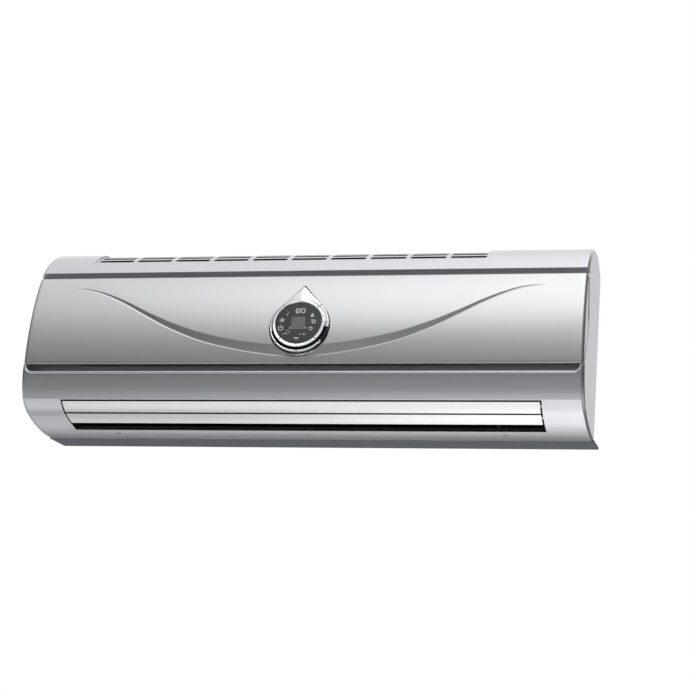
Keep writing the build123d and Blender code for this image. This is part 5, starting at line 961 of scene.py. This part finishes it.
# flame and two round marks on the right
mark_shape([(17.8, 10.2), (22.4, 10.2), (23.0, 12.4), (21.6, 15.2), (20.2, 17.0), (18.9, 14.6),
            (17.5, 12.6)])
mark_arc(23.3, 2.3, 2.5, 0, 360, 1.5, 24)
mark_bar(18.9, 5.6, 22.4, 5.0, 1.1)
mark_arc(19.6, -9.3, 2.5, -120, 200, 1.4, 24)
# leaf-like arc and small marks below
mark_arc(-16.5, -19.0, 6.6, 25, 100, 0.7)
mark_bar(-23.0, -18.4, -12.4, -17.6, 0.7)
mark_bar(-19.5, -16.4, -15.8, -15.2, 0.6)
mark_dot(4.4, -18.7, 1.0)
mark_bar(8.2, -18.6, 12.4, -19.2, 1.6)
# corners of the window
mark_shape([(-13.5, -9.2), (-10.6, -9.2), (-11.4, -6.0)])
mark_shape([(13.3, -9.2), (10.2, -9.2), (11.2, -6.0)])
new_piece("display_marks", mark_points, mark_faces, "panel", "window_grey", mark_white,
          smooth=False)

# light key at the bottom of the display, the lower half of an oval
KEY = (-0.4, -24.4)
KEY_HALF, KEY_DROP = 3.8, 2.6
mark_points, mark_faces = [], []
key_angles = [math.radians(a) for a in range(180, 361, 15)]
mark_shape([(KEY[0] + KEY_HALF * math.cos(a), KEY[1] + KEY_DROP * math.sin(a)) for a in key_angles])
new_piece("display_key", mark_points, mark_faces, "panel", "window_grey", mark_white, smooth=False)

# ================================================================ floor, light and camera
FLOOR_HALF = 6.0
FLOOR_HEIGHT = -1.2
floor_points = [(x * FLOOR_HALF, y * FLOOR_HALF, FLOOR_HEIGHT) for y in (-1, 1) for x in (-1, 1)]
floor_data = bpy.data.meshes.new("floor")
floor_data.from_pydata(floor_points, [], [(0, 1, 3, 2)])
floor = bpy.data.objects.new("floor", floor_data)
collection.objects.link(floor)
floor_data.materials.append(paint("floor_pale", (0.82, 0.82, 0.82), 0.7, 60.0, 0.02, edge=0.0,
                                  vary=0.01, cloud=1.0))
floor.visible_glossy = False     # a cut-out picture shows no floor in the lacquer

# Light level by height, where place is (z + 1) / 2 of the direction.
STUDIO_PEAK = 2.4
STUDIO = [(0.0, 1.6), (0.05, 1.55), (0.1, 1.35), (0.17, 1.05), (0.24, 0.82), (0.31, 0.44),
          (0.38, 0.27), (0.45, 0.52), (0.5, 0.42), (0.56, 0.12), (0.62, 0.16), (0.7, 0.38),
          (0.79, 0.72), (0.86, 1.24), (0.92, 1.6), (1.0, 1.6)]
# The rest of the studio: over which stretch of X, Y or Z of the direction a level or share
# goes from its first to its second value.
ACROSS = (-0.5, 0.1, 0.52, 1.0)            # X, dimmer towards the left
RIGHT_FLAG = (0.22, 0.5, 1.0, 0.16)        # X, a dark screen on the right
LEFT_FLAG = (-0.85, -0.5, 0.55, 1.0)       # X, a weaker one on the left
BEHIND = (0.25, 0.8, 0.0, 1.0)             # Y, where the wall's level takes over
WALL_LOW = (-0.8, -0.22, 0.5, 0.05)        # Z
WALL_HIGH = (-0.1, 0.1, 0.0, 0.36)         # Z
SIDES = (0.6, 0.8, 0.0, 1.0)               # X either way
SIDES_LOW = (-0.3, -0.1, 1.0, 0.0)         # Z
SIDES_LEVEL = 0.75                         # light from low on either side
VANE_SHARE = (-0.26, -0.16, 0.5, 1.35)     # X, what the lower vane mirrors
BELLY_SHARE = (-0.35, -0.1, 1.15, 1.9)     # X, what the underside mirrors
BELLY_FROM = (0.62, 0.75, 0.0, 1.0)        # Y
BELOW_REAR = (0.1, 0.3, 0.0, 1.0)          # Y
BELOW_STEEP = (-0.75, -0.55, 1.0, 0.0)     # Z


def grey(level):
    """Grey of a light level, as a share of the studio's peak."""
    return (level / STUDIO_PEAK,) * 3


world = bpy.data.worlds.new("studio")
bpy.context.scene.world = world
world.use_nodes = True
sky = world.node_tree
background = sky.nodes["Background"]
direction = sky.nodes.new("ShaderNodeTexCoord").outputs["Generated"]
x_way, y_way, z_way = (axis_of(sky, direction, axis) for axis in "XYZ")
ramp = sky.nodes.new("ShaderNodeValToRGB")
ramp.color_ramp.interpolation = "B_SPLINE"
stops = ramp.color_ramp.elements
stops.remove(stops[0])
stops[0].position = STUDIO[0][0]
stops[0].color = (*grey(STUDIO[0][1]), 1.0)
for place, level in STUDIO[1:]:
    stops.new(place).color = (*grey(level), 1.0)
sky.links.new(map_range(sky, z_way, 0.0, 1.0, -1.0, 1.0), ramp.inputs["Fac"])


def sky_mix(factor, first, second, blend="MIX"):
    """Mix of two light levels; a plain number stands for a grey of that level."""
    levels = [grey(level) if isinstance(level, float) else level for level in (first, second)]
    return colour_mix(sky, factor, *levels, blend)


def sky_range(value, from_low, from_high, low, high):
    """Soft change of a level or share over a stretch of a value."""
    return map_range(sky, value, low, high, from_low, from_high, soft=True)


def sky_times(first, second):
    """Product of two light levels or shares."""
    return sky_mix(1.0, first, second, "MULTIPLY")


front = sky_times(ramp.outputs["Color"], sky_range(x_way, *ACROSS))
wall = sky_mix(1.0, sky_range(z_way, *WALL_LOW), sky_range(z_way, *WALL_HIGH), "ADD")
around = sky_mix(sky_range(y_way, *BEHIND), front, wall)
around = sky_times(around, sky_range(x_way, *RIGHT_FLAG))
around = sky_times(around, sky_range(x_way, *LEFT_FLAG))
either_way = sky.nodes.new("ShaderNodeMath")
either_way.operation = "ABSOLUTE"
sky.links.new(x_way, either_way.inputs[0])
low_sides = sky_times(sky_range(either_way.outputs["Value"], *SIDES), sky_range(z_way, *SIDES_LOW))
around = sky_mix(low_sides, around, SIDES_LEVEL)
uneven = sky_mix(sky_range(y_way, *BELLY_FROM), sky_range(x_way, *VANE_SHARE),
                 sky_range(x_way, *BELLY_SHARE))
below = sky_times(sky_range(z_way, *BELOW_STEEP), sky_range(y_way, *BELOW_REAR))
around = sky_mix(below, around, sky_times(around, uneven))
seen = sky.nodes.new("ShaderNodeLightPath")
shown = sky_mix(seen.outputs["Is Camera Ray"], around, 1.0)
sky.links.new(shown, background.inputs["Color"])
background.inputs["Strength"].default_value = STUDIO_PEAK

SOFTBOX_PLACE = Vector((0.5, -1.3, 2.4))
SOFTBOX_AIM = Vector((0.0, -0.1, 0.0))
SOFTBOX_SIZE = (3.0, 1.6)
SOFTBOX_WATTS = 6.0
softbox_data = bpy.data.lights.new("key", "AREA")
softbox_data.shape = "RECTANGLE"
softbox_data.size, softbox_data.size_y = SOFTBOX_SIZE
softbox_data.energy = SOFTBOX_WATTS
softbox = bpy.data.objects.new("key", softbox_data)
softbox.location = SOFTBOX_PLACE
softbox.rotation_euler = (SOFTBOX_AIM - SOFTBOX_PLACE).to_track_quat("-Z", "Y").to_euler()
softbox.visible_camera = False
collection.objects.link(softbox)

# The camera stands right of the middle and below the unit, turned a little to the left and up.
CAMERA_PLACE = (0.648, -2.829, -0.562)
CAMERA_YAW = math.radians(11.54)
CAMERA_PITCH = math.radians(12.0)
CAMERA_ROLL = math.radians(2.07)
PIXELS = 696
FOCAL_PIXELS = 1860.0
SENSOR_WIDTH = 36.0
CAMERA_SHIFT = -0.035            # share of the picture's width, both ways
sideways = Vector((math.cos(CAMERA_YAW), math.sin(CAMERA_YAW), 0))
level = Vector((-math.sin(CAMERA_YAW), math.cos(CAMERA_YAW), 0))
forward = level * math.cos(CAMERA_PITCH) + Vector((0, 0, math.sin(CAMERA_PITCH)))
upright = -level * math.sin(CAMERA_PITCH) + Vector((0, 0, math.cos(CAMERA_PITCH)))
right = sideways * math.cos(CAMERA_ROLL) + upright * math.sin(CAMERA_ROLL)
top = upright * math.cos(CAMERA_ROLL) - sideways * math.sin(CAMERA_ROLL)
camera_data = bpy.data.cameras.new("camera")
camera_data.sensor_width = SENSOR_WIDTH
camera_data.lens = FOCAL_PIXELS * SENSOR_WIDTH / PIXELS
camera_data.shift_x = camera_data.shift_y = CAMERA_SHIFT
camera_data.clip_end = 50.0
camera = bpy.data.objects.new("camera", camera_data)
turned = Matrix((right, top, -forward)).transposed().to_4x4()
turned.translation = Vector(CAMERA_PLACE)
camera.matrix_world = turned
collection.objects.link(camera)
bpy.context.scene.camera = camera
bpy.context.scene.view_settings.view_transform = "Standard"
